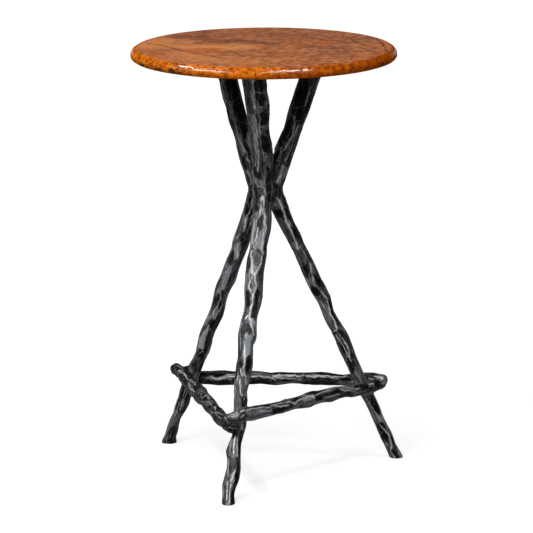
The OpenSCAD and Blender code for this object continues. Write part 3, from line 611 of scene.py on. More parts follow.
            [288, 30, 17, 6.9, 1.6, -0.15], [319, 60, 8, 9.2, 1.8, -0.15], [321, 30, 8, 6.0, 1.0, 0.19],
            [325, 95, 12, 6.9, 1.4, -0.15]],
        "rubsAndHighlights": [
            [0.9, 0.68, (0, 46), (0, 30), (4, 18)], [0.7, 0.45, (11, 62), (29, 58), (42, 50)],
            [0.9, 0.68, (41, 28), (55, 30), (67, 36), (76, 44)],
            [0.8, 0.68, (51, 64), (63, 58), (71, 48), (79, 34), (92, 24)],
            [0.9, 0.74, (87, 60), (97, 72), (107, 80)],
            [0.8, 0.68, (110, 52), (123, 66), (136, 56), (144, 34), (155, 26)],
            [0.9, 0.79, (140, 92), (156, 88), (160, 74)], [0.8, 0.63, (157, 74), (160, 52), (171, 46)],
            [0.8, 0.68, (177, 90), (189, 84), (193, 72), (194, 56)],
            [0.9, 0.79, (198, 34), (215, 32), (231, 38), (240, 46), (245, 58)],
            [0.8, 0.63, (216, 78), (232, 84), (245, 76), (253, 60), (266, 52)],
            [1.2, 0.95, (264, 58), (279, 64), (296, 62), (309, 50), (314, 38)],
            [0.8, 0.68, (318, 84), (331, 88), (335, 76)]],
        "creases": [
            [0.8, 0.60, (78, 90), (77, 60), (83, 30)], [0.8, 0.60, (133, 70), (137, 40)],
            [0.8, 0.60, (196, 80), (194, 40)]]},
    "stretcher_right": {
        "bareToneAndShade": [(0, 0.32), (100, 0.34), (200, 0.33), (350, 0.40)],
        # The dark facet at 316 mm is painted shadow of the front leg; the bright facet at 332 mm is a painted highlight
        # on the front nub.
        "facets": [
            [21, 30, 9, 7.0, 1.6, 0.08], [54, 32, 12, 6.0, 1.6, 0.05], [37, 30, 5, 4.0, 0.4, 0.75],
            [55, 0, 12, 5.0, 1.0, 0.30], [73, 10, 12, 5.0, 0.8, 0.35], [91, 40, 18, 4.0, 0.6, 0.35],
            [90, 10, 14, 5.0, 1.0, 0.25], [91, -18, 14, 5.0, 1.2, 0.15], [126, 18, 26, 5.0, 1.8, 0.02],
            [132, 50, 14, 4.5, 0.7, 0.50], [129, -15, 16, 6.0, 0.7, 0.50], [153, 15, 10, 6.0, 1.6, 0.03],
            [152, 70, 20, 5.0, 1.4, 0.02], [173, 32, 13, 6.0, 0.6, 0.95], [173, -8, 14, 5.0, 0.8, 0.50],
            [195, 22, 8, 5.0, 1.0, 0.35], [198, 50, 12, 6.0, 1.6, 0.03], [209, 28, 6, 4.0, 0.6, 0.55],
            [214, 5, 10, 5.0, 1.2, 0.15], [239, -4, 22, 5.0, 1.8, 0.03], [238, 36, 14, 4.0, 1.2, 0.15],
            [233, 62, 20, 4.0, 0.8, 0.30], [262, 10, 8, 6.0, 0.8, 0.40], [278, 36, 14, 5.5, 0.7, 0.72],
            [285, 2, 20, 6.0, 1.0, 0.45], [301, 34, 10, 5.0, 0.8, 0.55], [269, 62, 30, 4.0, 1.4, 0.05],
            [316, 20, 10, 8.0, 1.4, 0.12], [332, 26, 7, 6.0, 0.6, 1.00], [342, 30, 5, 8.0, 1.2, 0.30]],
        "rubsAndHighlights": [
            # The first three lines and the last three are rubbed metal on the front nub that also stands in for its
            # painted highlight.
            [1.2, 1.10, (311, 62), (319, 44), (326, 22)], [0.9, 0.95, (315, 12), (322, -6)],
            [0.9, 1.00, (320, 80), (326, 58), (329, 30)],
            [1.1, 0.72, (32, 34), (39, 40)], [1.1, 0.66, (63, 22), (75, 34), (88, 48), (100, 58)],
            [0.9, 0.60, (69, 4), (92, 24), (105, 30)],
            [1.2, 0.72, (99, 76), (115, 64), (133, 54), (150, 46), (157, 44)],
            [0.9, 0.54, (107, -8), (119, -2), (132, -4), (145, 4)],
            [1.4, 0.96, (162, 20), (169, 38), (180, 44), (190, 38), (201, 20), (207, 10)],
            [0.9, 0.72, (205, 20), (211, 34), (221, 38)], [1.2, 0.78, (219, 12), (232, 24), (246, 38), (255, 48)],
            [1.1, 0.72, (214, 44), (232, 58), (253, 60)], [1.2, 0.84, (259, 40), (270, 52), (289, 52), (308, 44)],
            [0.9, 0.60, (256, -2), (272, 14), (295, 16)], [1.9, 1.00, (326, 24), (332, 32), (338, 26)],
            [1.2, 0.96, (329, 14), (336, 16)], [1.1, 0.72, (336, 50), (342, 40)]],
        "creases": [
            [0.8, 0.70, (107, 62), (136, 46), (156, 38)], [0.8, 0.60, (204, 48), (203, 10)],
            [0.8, 0.60, (215, 34), (221, 12)]]},
    "stretcher_back": {
        "bareToneAndShade": [(0, 0.34), (100, 0.38), (200, 0.39), (350, 0.40)],
        # The long dark facets near 110 degrees, just under the top edge, and those near -150 and -140 degrees, low on
        # the visible side, are painted shade.
        "facets": [
            [38, 160, 14, 9.0, 1.4, 0.13], [65, 172, 5, 6.0, 0.6, 0.60], [93, 150, 12, 5.0, 0.7, 0.60],
            [78, 130, 28, 5.0, 1.2, 0.13], [72, -150, 30, 6.0, 1.4, 0.13], [93, -178, 12, 4.0, 1.0, 0.15],
            [147, 142, 17, 6.5, 0.6, 0.55], [148, 175, 16, 6.0, 1.4, 0.13], [142, -150, 24, 6.0, 1.4, 0.13],
            [169, 143, 8, 5.5, 0.5, 1.00], [185, 146, 10, 5.0, 0.5, 0.70], [188, 178, 16, 5.0, 1.4, 0.13],
            [207, 140, 7, 5.0, 0.5, 0.70], [201, 110, 60, 4.5, 1.4, 0.13], [197, 150, 5, 4.0, 1.0, 0.15],
            [225, 150, 8, 5.0, 0.8, 0.40], [247, 138, 26, 4.2, 0.5, 0.85], [243, 172, 26, 7.0, 1.4, 0.13],
            [272, 150, 12, 5.0, 0.9, 0.35], [281, 172, 10, 7.0, 1.2, 0.15], [251, 112, 40, 4.5, 1.4, 0.13],
            [92, 108, 40, 3.5, 1.4, 0.13], [242, -140, 40, 6.0, 1.4, 0.13], [318, 150, 14, 7.0, 1.4, 0.13],
            [336, 148, 6, 7.0, 0.6, 0.70], [333, -172, 6, 5.0, 1.8, 0.13], [308, 172, 10, 5.0, 0.8, 0.40]],
        "rubsAndHighlights": [
            [1.1, 0.82, (61, 162), (67, 174), (83, 166), (101, 158)], [1.1, 0.82, (83, 158), (89, 146), (103, 138)],
            [0.8, 0.68, (69, -176), (87, 178), (99, -176)], [1.1, 0.82, (129, 158), (143, 154), (161, 158)],
            [1.5, 1.14, (163, 158), (165, 144), (172, 136), (184, 138), (196, 144)],
            [1.1, 0.96, (171, 162), (187, 168), (203, -178), (209, -172)],
            [1.1, 0.96, (198, 136), (209, 146), (214, 136)],
            [1.1, 0.82, (217, 142), (225, 156), (231, 158), (237, 146)],
            [1.4, 1.09, (229, 138), (246, 134), (264, 136), (282, 132)],
            [1.1, 0.82, (241, 150), (258, 152), (273, 160)],
            [1.1, 0.82, (295, 152), (303, 164), (315, 168), (325, 164)],
            [1.2, 0.96, (328, 136), (337, 146), (341, 160)]],
        "creases": [
            [0.8, 0.60, (79, 138), (87, 130), (100, 128)], [0.8, 0.60, (163, 168), (183, 174)]]},
}
# The far side of each bar gets the same work again: mm moved along and degrees turned round.
repeats = ((0, 0), (11, 167))


def hammerMarks(length, radius, kind, seed):
    rng = np.random.default_rng(seed)
    marks = []
    around = max(5, round(2 * math.pi * radius / kind["width"]))
    for row in range(int(length / kind["pitch"]) + 2):
        for n in range(around):
            marks.append([
                (row - 0.5 + rng.uniform(-scatter["along"], scatter["along"])) * kind["pitch"],
                (n + 0.5 * (row % 2) + rng.uniform(-scatter["round"], scatter["round"])) * 2 * math.pi / around,
                rng.uniform(*kind["long"]), rng.uniform(*kind["wide"]), rng.uniform(*kind["deep"]),
                rng.normal(0, kind["skew"]), rng.uniform(-scatter["tone"], scatter["tone"]), 0])
    return np.array(marks)


def placedWork(name, path, run):
    def spot(place, degrees):
        along = np.interp(place / 1000, path[:, 2], run) if name.startswith("leg") else place / 1000
        return [float(along), math.radians(degrees)]

    facets, lines = [], {"rubsAndHighlights": [], "creases": []}
    for shift, turn in repeats:
        for place, degrees, long, wide, deep, tone in handWork[name]["facets"]:
            facets.append(spot(place + shift, degrees + turn) + [long / 1000, wide / 1000, deep / 1000, 0, tone, 1])
        for kind in lines:
            for wide, strength, *points in handWork[name][kind]:
                points = np.array([spot(place + shift, degrees + turn) for place, degrees in points])
                points[:, 1] = np.unwrap(points[:, 1])
                lines[kind].append((points, wide / 1000, strength))
    trim = [(math.radians(degrees), np.array([[spot(place, 0)[0], amount / 1000] for place, amount in table]))
            for degrees, table in outlineTrim[name]]
    bareToneAndShade = np.array([[spot(place, 0)[0], tone] for place, tone in handWork[name]["bareToneAndShade"]])
    return np.array(facets), lines, trim, bareToneAndShade


drift = ((0.014, 0.0022), (0.0045, 0.0009))    # size and reach in metres of the wander that all marks share
ridgeHidden = 0.65          # how much a listed facet hides the ridges of the chance marks below it
facetEdge = (1.15, 2.00)    # share of a facet's size at which its tone starts and ends giving way
markReach = (1.4, 0.001)    # how far along a mark counts: a share of its half length, and metres
ridgeShape = {"sharp": 0.00020, "fadeFrom": 1.4, "fadeDepth": 0.0014}    # where two marks of like depth meet
# Ridges show less where the tone is low, so they also fade where that tone paints the table top's shade on the upper
# legs.
ridgeTone = (0.35, 2.6)     # how much ridges show on dark iron, and how that grows with the tone
rubHeight, creaseDepth = 0.0003, 0.0005
lineReach = 3               # half widths of a line beyond which it counts no more
trimFocus = 1.5             # how closely an outline trim keeps to its own side of the bar


# The deepest and next deepest mark at each point, the tone, and how much ridges show there. A listed facet
# keeps its own tone all over.
def pressMarks(marks, run, angle, radius, bareToneAndShade):
    first, second = np.zeros(run.shape), np.zeros(run.shape)
    tone, handTone = bareToneAndShade.copy(), np.zeros(run.shape)
    closest = np.full(run.shape, facetEdge[1])
    for place, around, long, wide, deep, skew, toneHere, byHand in marks:
        near = np.abs(run - place) < long * markReach[0] + markReach[1]
        if not near.any():
            continue
        ahead = run[near] - place
        across = wrapTurn(angle[near] - around) * radius
        x = ahead * math.cos(skew) + across * math.sin(skew)
        y = across * math.cos(skew) - ahead * math.sin(skew)
        value = deep * (1 - (x / long) ** 2 - (y / wide) ** 2)
        best, next_ = first[near], second[near]
        wins = value > best
        second[near] = np.where(wins, best, np.maximum(next_, value))
        first[near] = np.maximum(best, value)
        if byHand:
            share = np.abs(x / long) ** 3 + np.abs(y / wide) ** 3
            closer = share < closest[near]
            handTone[near] = np.where(closer, toneHere, handTone[near])
            closest[near] = np.minimum(closest[near], share)
        else:
            tone[near] = np.where(wins, bareToneAndShade[near] + toneHere, tone[near])
    cover = np.clip((facetEdge[1] - closest) / (facetEdge[1] - facetEdge[0]), 0, 1)
    return first, second, tone + (handTone - tone) * cover, 1 - ridgeHidden * cover


def lineMask(lines, run, angle, radius):
    mask = np.zeros(run.shape)
    for points, wide, strength in lines:
        near = (run > points[:, 0].min() - lineReach * wide) & (run < points[:, 0].max() + lineReach * wide)
        if not near.any():
            continue
        middle = points[:, 1].mean()
        ahead, across = run[near], wrapTurn(angle[near] - middle) * radius
        knots = np.stack([points[:, 0], (points[:, 1] - middle) * radius], -1)
        nearest = np.full(ahead.shape, 1.0)
        for a, b in zip(knots[:-1], knots[1:]):
            step = b - a
            t = np.clip(((ahead - a[0]) * step[0] + (across - a[1]) * step[1]) / (step @ step), 0, 1)
            nearest = np.minimum(nearest, np.hypot(ahead - a[0] - t * step[0], across - a[1] - t * step[1]))
        mask[near] = np.maximum(mask[near], strength * np.exp(-(nearest / wide) ** 2))
    return mask


def ridgeMask(first, second):
    fade = np.clip(ridgeShape["fadeFrom"] - first / ridgeShape["fadeDepth"], 0, 1)
    return np.exp(-((first - second) / ridgeShape["sharp"]) ** 2) * fade


# Where a point of the surface lies in the bar's own space, in which chance patterns and the finish are laid.
def barSpace(run, angle, radius):
    return np.stack([run, np.cos(angle) * radius, np.sin(angle) * radius], -1)


# The worked surface of a bar: how far out it lies, and the masks that the iron finish is painted with.
def workSurface(bar, run, angle):
    radius = bar["meanRadius"]
    spots = barSpace(run, angle, radius).reshape(-1, 3)
    movedRun, movedAngle = run, angle
    for size, reach in drift:
        movedRun = movedRun + reach * lumps(spots, size, bar["seed"]).reshape(run.shape)
        movedAngle = movedAngle + reach / radius * lumps(spots, size, bar["seed"] + 50).reshape(run.shape)
    bareToneAndShade = np.interp(run, bar["bareToneAndShade"][:, 0], bar["bareToneAndShade"][:, 1])
    first, second, tone, shown = pressMarks(bar["marks"], movedRun, movedAngle, radius, bareToneAndShade)
    rub, crease = (lineMask(bar["lines"][kind], movedRun, movedAngle, radius) for kind in ("rubsAndHighlights", "creases"))
    out = np.interp(run, bar["run"], bar["thick"]) - first + rubHeight * rub - creaseDepth * crease
    for side, table in bar["trim"]:
        out = out + np.interp(run, table[:, 0], table[:, 1]) * np.clip(np.cos(angle - side), 0, 1) ** trimFocus
    out = out * np.interp(run, bar["run"], bar["shrink"])
    ridge = ridgeMask(first, second) * shown * np.clip(ridgeTone[0] + ridgeTone[1] * bareToneAndShade, 0, 1)
    return out, {"ridge": ridge, "rub": rub, "crease": crease, "tone": tone}


def legPath(rows, z):
    spec = legBar
    share = z / spec["height"]
    waist = spec["waistCircle"]
    foot = math.sqrt(spec["footCircle"] ** 2 - waist ** 2)
    head = math.sqrt(spec["topCircle"] ** 2 - waist ** 2)
    down = foot * (spec["waistHeight"] - z) / spec["waistHeight"]
    up = head * (z - spec["waistHeight"]) / (spec["height"] - spec["waistHeight"])
    line = np.hypot(waist, np.where(z < spec["waistHeight"], down, up))
    wander = stationCurve(rows, 1, share, spec["soften"]) / 1000
    aside = stationCurve(rows, 2, share, spec["soften"]) / 1000
    return np.stack([line + wander, aside, z], -1)


def makeBar(name, path, thick, beside, marks, seed, start=0):
    along = unit(np.gradient(path, axis=0))
    out = unit(np.cross(beside, along))
    side = np.cross(along, out)
    run = start + np.concatenate([[0], np.cumsum(np.linalg.norm(np.diff(path, axis=0), axis=1))])
    radius = float(thick.mean())
    facets, lines, trim, bareToneAndShade = placedWork(name, path, run)
    return {"path": path, "along": along, "out": out, "side": side, "run": run, "thick": thick,
            "shrink": np.ones(len(run)), "meanRadius": radius,
            "marks": np.concatenate([hammerMarks(run[-1], radius, marks, seed), facets]),
            "lines": lines, "trim": trim, "bareToneAndShade": bareToneAndShade, "seed": seed}


# The angles round a bar, and the way out from its axis at each of them, ring by ring.
def spokesOf(bar, sides):
    angle = np.arange(sides) * 2 * math.pi / sides
    spoke = np.cos(angle)[None, :, None] * bar["out"][:, None] + np.sin(angle)[None, :, None] * bar["side"][:, None]
    return angle, spoke


def legSurface(name, rows, degrees, seed):
    spec = legBar
    evenRings = np.arange(spec["evenFrom"], spec["height"] - 0.0007, spec["ringStep"])
    z = np.concatenate([spec["footRings"], evenRings, [spec["height"]]])
    path = legPath(rows, z)
    thick = spec["thickness"] / 2 * stationCurve(rows, 3, z / spec["height"], spec["soften"]) + spec["swell"]
    bar = makeBar(name, path, thick, np.array([0, 1.0, 0]), longMarks, seed)
    angle, spoke = spokesOf(bar, spec["sides"])
    slope = -spoke[..., 2] / bar["along"][:, None, 2]    # slides each ring along the bar until it lies level
    run = bar["run"][:, None] + slope * thick[:, None]
    radius, masks = workSurface(bar, run, np.broadcast_to(angle, run.shape))
    bevel = np.clip(z / spec["bevelHeight"], 0, 1)
    radius = radius * (1 - spec["bevel"] * (1 - bevel) ** 2)[:, None]
    points = path[:, None] + spoke * radius[..., None] + bar["along"][:, None] * (slope * radius)[..., None]
    # keep each leg in its third of the circle, where the three press on each other
    for _ in range(2):
        over = np.maximum(np.abs(points[..., 1]) * 0.5 - points[..., 0] * math.sqrt(0.75) + spec["apart"], 0)
        points[..., 0] += over * math.sqrt(0.75)
        points[..., 1] -= np.sign(points[..., 1]) * over * 0.5
    masks["barPlace"] = barSpace(run, angle, radius)
    bar["path"] = turned(bar["path"], degrees)
    for key in ("along", "out", "side"):
        bar[key] = turned(bar[key], degrees)
    return bar, turned(points, degrees), masks


finishShift = 0.37    # metres by which the finish moves from one bar to the next


def dressTube(name, points, masks, material, seed):
    faces = closedTube(*points.shape[:2])
    marks = {key: values.ravel() for key, values in masks.items() if key != "barPlace"}
    marks["barPlace"] = masks["barPlace"].reshape(-1, 3) + seed * finishShift
    return buildPiece(name, points.reshape(-1, 3), faces, marks, material, flat=(len(faces) - 2, len(faces) - 1))


bars = {}
for seed, (side, (degrees, rows)) in enumerate(legRows.items(), 11):
    bar, points, masks = legSurface("leg_" + side, np.array(rows, float), degrees, seed)
    bar["rows"], bar["degrees"] = np.array(rows, float), degrees
    bars["leg_" + side] = bar
    piece = dressTube("hammered_leg_" + side, points, masks, hammeredIron, seed)
    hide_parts("leg_" + side)
    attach(piece, "root")
print("legs hammered")

# ---- stretchers
# Each bar: the leg it starts from, how far its start is tucked in and its end stands out, its marks, and rows of
# share of the length, wander up and outward in mm, and thickness share.
stretcherBar = {
    "thickness": 0.0205,
    "press": 0.0025,
    "lowOverrun": 0.0075,
    "highOverrun": 0.012,
    "domeLength": 0.0082,
    "domeFrom": 0.12,      # radians round the dome at which its first ring lies
    "domeRings": 9,
    "swell": 0.00045,
    "ringStep": 0.0012,
    "sides": 68,
    "soften": 0.012,
}
# level on which two stretchers cross at a leg, and the rise between their axes
crossings = {"front": (0.1185, 0.017), "left": (0.1165, 0.0095), "right": (0.1235, 0.0095)}
nextLeg = {"front": "left", "left": "right", "right": "front"}
stretcherRows = {
    "back": ["left", (0.0065, 0), longMarks, [
        [0, 0, 0, 0.90], [0.10, 0, 0, 0.92], [0.20, -1, 0, 1.04], [0.32, 0, 0, 1.00],
        [0.40, 0, 0, 0.88], [0.48, -1, 0, 0.96], [0.56, 0, 0, 0.84], [0.66, 1, 0, 0.96],
        [0.76, -1, 0, 0.80], [0.86, 0, 0, 0.94], [1, 0, 0, 0.92]]],
    "left": ["front", (0, 0.008), shortMarks, [
        [0, 0, 0, 0.90], [0.12, 0, 0, 0.94], [0.22, -2, 1, 1.10], [0.32, -2, 0, 0.98],
        [0.42, -3, 1, 1.14], [0.52, 0, 1, 1.00], [0.62, -3, 1, 1.14], [0.74, 0, 0, 0.98],
        [0.84, 0, 0, 1.02], [0.90, 0, 0, 1.00], [1, -1.5, 3.5, 0.98]]],
    "right": ["right", (0, 0), longMarks, [
        [0, 0, 0, 0.90], [0.12, 1, 0, 1.02], [0.22, 0, 0, 1.14], [0.32, 4, 0, 1.02],
        [0.42, 2.5, 1, 1.12], [0.50, 1.5, 0, 0.88], [0.60, 1, 0, 0.88], [0.72, -1, 1, 1.00],
        [0.84, 0, 0, 1.10], [0.92, 0.5, 0, 1.02], [1, 1, 0, 0.94]]],
}


def stationLine(rows, column, share):
    return np.interp(share, rows[:, 0], rows[:, column])


# The seats follow the solid model's own stations, so each bar lies where its solid does.
def legAt(side, z):
    bar = bars["leg_" + side]
    share = z / legBar["height"]
    run = legBar["footCircle"] ** 2 - legBar["waistCircle"] ** 2
    line = math.hypot(legBar["waistCircle"], math.sqrt(run) * (legBar["waistHeight"] - z) / legBar["waistHeight"])
    point = np.array([[line + stationLine(bar["rows"], 1, share) / 1000, stationLine(bar["rows"], 2, share) / 1000, z]])
    return turned(point, bar["degrees"])[0], legBar["thickness"] / 2 * stationLine(bar["rows"], 3, share)


def legBefore(leg):
    return next(key for key, value in nextLeg.items() if value == leg)


# The axis of the stretcher that starts at a leg, and where it bears on its low and its high leg.
def seatLine(low):
    high = nextLeg[low]
    lowZ, highZ = crossings[low][0] - crossings[low][1] / 2, crossings[high][0] + crossings[high][1] / 2
    (a, aRadius), (b, bRadius) = legAt(low, lowZ), legAt(high, highZ)
    way = unit((b - a)[:2])
    outward = np.array([-way[1], way[0]])
    a, b = a[:2] + (aRadius - stretcherBar["press"]) * outward, b[:2] + (bRadius - stretcherBar["press"]) * outward
    way = unit(b - a)
    outward = np.array([-way[1], way[0]])
    axis = a + (stretcherBar["thickness"] / 2 - stretcherBar["press"]) * outward
    return {"axis": axis, "way": way, "outward": outward, "low": np.array([*a, lowZ]), "high": np.array([*b, highZ])}


def cross2(a, b):
    return a[0] * b[1] - a[1] * b[0]


# Where the axes of the two stretchers at a leg cross.
def cornerOf(leg):
    p, u = (seatLine(leg)[key] for key in ("axis", "way"))
    q, w = (seatLine(legBefore(leg))[key] for key in ("axis", "way"))
    return p + u * cross2(q - p, w) / cross2(u, w)


def stretcherSurface(name, low, tuck, nub, marks, rows, seed):
    spec = stretcherBar
    seat = seatLine(low)
    way, outward, lowZ, highZ = seat["way"], seat["outward"], seat["low"][2], seat["high"][2]
    begin = cornerOf(low) - spec["lowOverrun"] * way
    end = cornerOf(nextLeg[low]) + (spec["highOverrun"] + nub) * way
    length = np.linalg.norm(end - begin)
    dome = spec["domeLength"]
    curl = dome * (1 - np.cos(np.linspace(spec["domeFrom"], math.pi / 2, spec["domeRings"])))
    middle = np.arange(tuck + dome + spec["ringStep"], length - dome - 0.0006, spec["ringStep"])
    run = np.concatenate([tuck + curl, middle, length - curl[::-1]])
    share = run / length
    wander = stationCurve(rows, 2, share, spec["soften"])[:, None] / 1000
    flat = begin + run[:, None] * way + wander * outward
    z = lowZ + share * (highZ - lowZ) + stationCurve(rows, 1, share, spec["soften"]) / 1000
    path = np.concatenate([flat, z[:, None]], 1)
    thick = spec["thickness"] / 2 * stationCurve(rows, 3, share, spec["soften"]) + spec["swell"]
    gone = np.clip(1 - np.minimum(run - tuck, length - run) / dome, 0, 1)
    bar = makeBar(name, path, thick, np.array([0, 0, 1.0]), marks, seed, start=tuck)
    angle, spoke = spokesOf(bar, spec["sides"])
    runs = np.broadcast_to(run[:, None], spoke.shape[:2])
    bar["shrink"] = np.sqrt(1 - gone ** 2)
    radius, masks = workSurface(bar, runs, np.broadcast_to(angle, runs.shape))
    masks["barPlace"] = barSpace(runs, angle, radius)
    return bar, path[:, None] + spoke * radius[..., None], masks


for seed, (side, (low, (tuck, nub), marks, rows)) in enumerate(stretcherRows.items(), 21):
    bar, points, masks = stretcherSurface("stretcher_" + side, low, tuck, nub, marks, np.array(rows, float), seed)
    bars["stretcher_" + side] = bar
    piece = dressTube("hammered_stretcher_" + side, points, masks, hammeredIron, seed)
    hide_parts("stretcher_" + side)
    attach(piece, "root")
print("stretchers hammered")


# ---- weld metal
# Where points lie on a bar near a centre: metres along it, the angle round it and the distance from its axis.
def placeOn(bar, points, centre, reach):
    near = np.linalg.norm(bar["path"] - centre, axis=1) < reach
    path, along = bar["path"][near][::2], bar["along"][near][::2]
    nearest = ((points[:, None] - path[None]) ** 2).sum(-1).argmin(1)
    away = points - path[nearest]
    out, side = bar["out"][near][::2][nearest], bar["side"][near][::2][nearest]
    across, beside = (away * out).sum(-1), (away * side).sum(-1)
    run = bar["run"][near][::2][nearest] + (away * along[nearest]).sum(-1)
    past = np.maximum(0, np.maximum(bar["run"][0] - run, run - bar["run"][-1]))
    return run, np.arctan2(beside, across), np.hypot(np.hypot(across, beside), past)


marksNear = 0.06    # metres along a bar within which its marks shape the weld on it


# Distance from points to a bar's hammered surface, from the stretch of bar near them.
def gapTo(bar, points, centre, reach):
    run, angle, distance = placeOn(bar, points, centre, reach)
    nearby = bar["marks"][np.abs(bar["marks"][:, 0] - run.mean()) < marksNear]
    local = dict(bar, marks=nearby, lines={"rubsAndHighlights": [], "creases": []})
    return distance - workSurface(local, run, angle)[0]


def softUnion(gaps, blend):
    joined = gaps[0]
    for gap in gaps[1:]:
        share = np.clip(0.5 + 0.5 * (gap - joined) / blend, 0, 1)
        joined = gap * (1 - share) + joined * share - blend * share * (1 - share)
    return joined


# Sink is how far a weld's surface lies back, lump how high its lumps stand, and near how far from its centre the
# bars are looked at.
cornerWeld = {"blend": 0.0115, "reach": 0.021, "sink": 0.0004, "lump": 0.0006, "lumpSize": 0.012, "near": 0.055,
              "rows": 44, "columns": 64, "pole": 0.02}
webWeld = dict(cornerWeld, blend=0.024, reach=0.020, ahead=0.006, above=0.004)    # over the left bar's free end
waistWeld = {"blend": 0.013, "half": 0.019, "outer": 0.034, "sink": 0.0003, "lump": 0.0005, "lumpSize": 0.014,
             "near": 0.09, "columns": 112, "rings": 30, "seed": 41, "fade": 0.75}
plateWeld = {"width": 0.0048, "depth": 0.012, "outer": 0.034, "sink": 0.0003, "lump": 0.0006, "lumpSize": 0.012,
             "near": 0.07, "columns": 80, "rings": 14, "crowding": 1.4, "clear": 0.0001}
closing = {"rounds": 34, "share": 0.75, "least": 0.001}


# Draws points in along their ways until they lie on the surface where the field is zero.
def closeIn(start, ways, reach, field):
    t = np.full(len(ways), reach)
    for _ in range(closing["rounds"]):
        t = np.clip(t - closing["share"] * field(start + ways * t[:, None], t), closing["least"], reach)
    return start + ways * t[:, None]


def roughened(gap, points, spec, seed):
    return gap + spec["sink"] + spec["lump"] * lumps(points, spec["lumpSize"], seed)


weldSkin = (0.0006, 0.0026)    # how high above a bar weld metal still shows the bar's marks, and where only its own
# Weld metal's own rubs and creases, by its lumps: where they start, how fast they grow, and the most they reach.
ownMarks = {"size": 0.011, "rub": (0.10, 1.8, 0.7), "crease": (-0.35, 1.4, 0.6), "tone": (0.18, 0.35)}


def weldMarks(points, names, centre, reach, seed):
    lump = lumps(points, ownMarks["size"], seed)
    rubFrom, rubGain, rubMost = ownMarks["rub"]
    creaseFrom, creaseGain, creaseMost = ownMarks["crease"]
    marks = {"ridge": np.zeros(len(points)), "rub": rubMost * np.clip(rubFrom + rubGain * lump, 0, 1) ** 2,
             "crease": np.clip(creaseFrom - creaseGain * lump, 0, creaseMost),
             "tone": ownMarks["tone"][0] + ownMarks["tone"][1] * lump, "barPlace": points + seed}
    closest = np.full(len(points), weldSkin[1])
    for name in names:
        run, angle, distance = placeOn(bars[name], points, centre, reach)
        radius, masks = workSurface(bars[name], run, angle)
        gap = distance - radius
        share = np.clip((weldSkin[1] - gap) / (weldSkin[1] - weldSkin[0]), 0, 1) * (gap < closest)
        closest = np.minimum(closest, gap)
        for key, values in masks.items():
            marks[key] = marks[key] * (1 - share) + values * share
    return marks


# One piece of weld metal from parts of points, faces and marks.
def joinWelds(name, parts):
    points, faces, marks = zip(*parts)
    starts = np.cumsum([0] + [len(some) for some in points]).tolist()
    joined = [[i + start for i in face] for start, some in zip(starts, faces) for face in some]
    together = {key: np.concatenate([some[key] for some in marks]) for key in marks[0]}
    return buildPiece(name, np.concatenate(points), joined, together, weldIron)


def cornerLump(centre, names, spec, seed):
    rows, columns = spec["rows"], spec["columns"]
    tilt = np.linspace(spec["pole"], math.pi - spec["pole"], rows)[:, None]
    turn = np.arange(columns) * 2 * math.pi / columns
    ways = np.stack([np.sin(tilt) * np.cos(turn), np.sin(tilt) * np.sin(turn),
                     np.broadcast_to(-np.cos(tilt), (rows, columns))], -1)

    def field(points, t):
        gaps = [gapTo(bars[name], points, centre, spec["near"]) for name in names]
        blend = spec["blend"] * (1.001 - (t / spec["reach"]) ** 2)
        return roughened(softUnion(gaps, blend), points, spec, seed)

    return closeIn(centre, ways.reshape(-1, 3), spec["reach"], field), closedTube(rows, columns)


stretchersAt = {"front": ("left", "right"), "left": ("back", "left"), "right": ("right", "back")}
for seed, (leg, (lowBar, highBar)) in enumerate(stretchersAt.items(), 31):
    lowSeat, highSeat = seatLine(leg), seatLine(legBefore(leg))
    centres = [lowSeat["low"], highSeat["high"], np.array([*cornerOf(leg), crossings[leg][0]])]
    specs = [cornerWeld] * len(centres)
    if leg == "left":
        centres.append(centres[1] + np.array([*(highSeat["way"] * webWeld["ahead"]), webWeld["above"]]))
        specs.append(webWeld)
    names = ["leg_" + leg, "stretcher_" + lowBar, "stretcher_" + highBar]
    parts = []
    for k, (centre, spec) in enumerate(zip(centres, specs)):
        points, faces = cornerLump(centre, names, spec, seed * 3 + k)
        parts.append((points, faces, weldMarks(points, names, centre, spec["near"], seed)))
    piece = joinWelds("weld_corner_" + leg, parts)
    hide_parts("corner_welds_" + leg)
    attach(piece, "root")

legNames = ["leg_front", "leg_left", "leg_right"]


def collarPoints(levels, centreAt, spec, field):
    turn = np.arange(spec["columns"]) * 2 * math.pi / spec["columns"]
    ways = np.stack([np.cos(turn), np.sin(turn), np.zeros_like(turn)], -1)
    rings = [closeIn(centreAt(z), ways, spec["outer"], lambda points, t, z=z: field(points, z)) for z in levels]
    return np.concatenate(rings), closedTube(len(levels), spec["columns"])


middle = np.array([0, 0, legBar["waistHeight"]])


def waistField(points, z):
    gaps = [gapTo(bars[name], points, middle, waistWeld["near"]) for name in legNames]
    fade = 1 - waistWeld["fade"] * ((z - legBar["waistHeight"]) / waistWeld["half"]) ** 2
    return roughened(softUnion(gaps, waistWeld["blend"] * fade), points, waistWeld, waistWeld["seed"])


levels = legBar["waistHeight"] + np.linspace(-1, 1, waistWeld["rings"]) * waistWeld["half"]
points, faces = collarPoints(levels, lambda z: np.array([0, 0, z]), waistWeld, waistField)
marks = weldMarks(points, legNames, middle, waistWeld["near"], waistWeld["seed"])
piece = joinWelds("weld_waist", [(points, faces, marks)])
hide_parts("waist_welds")
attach(piece, "root")

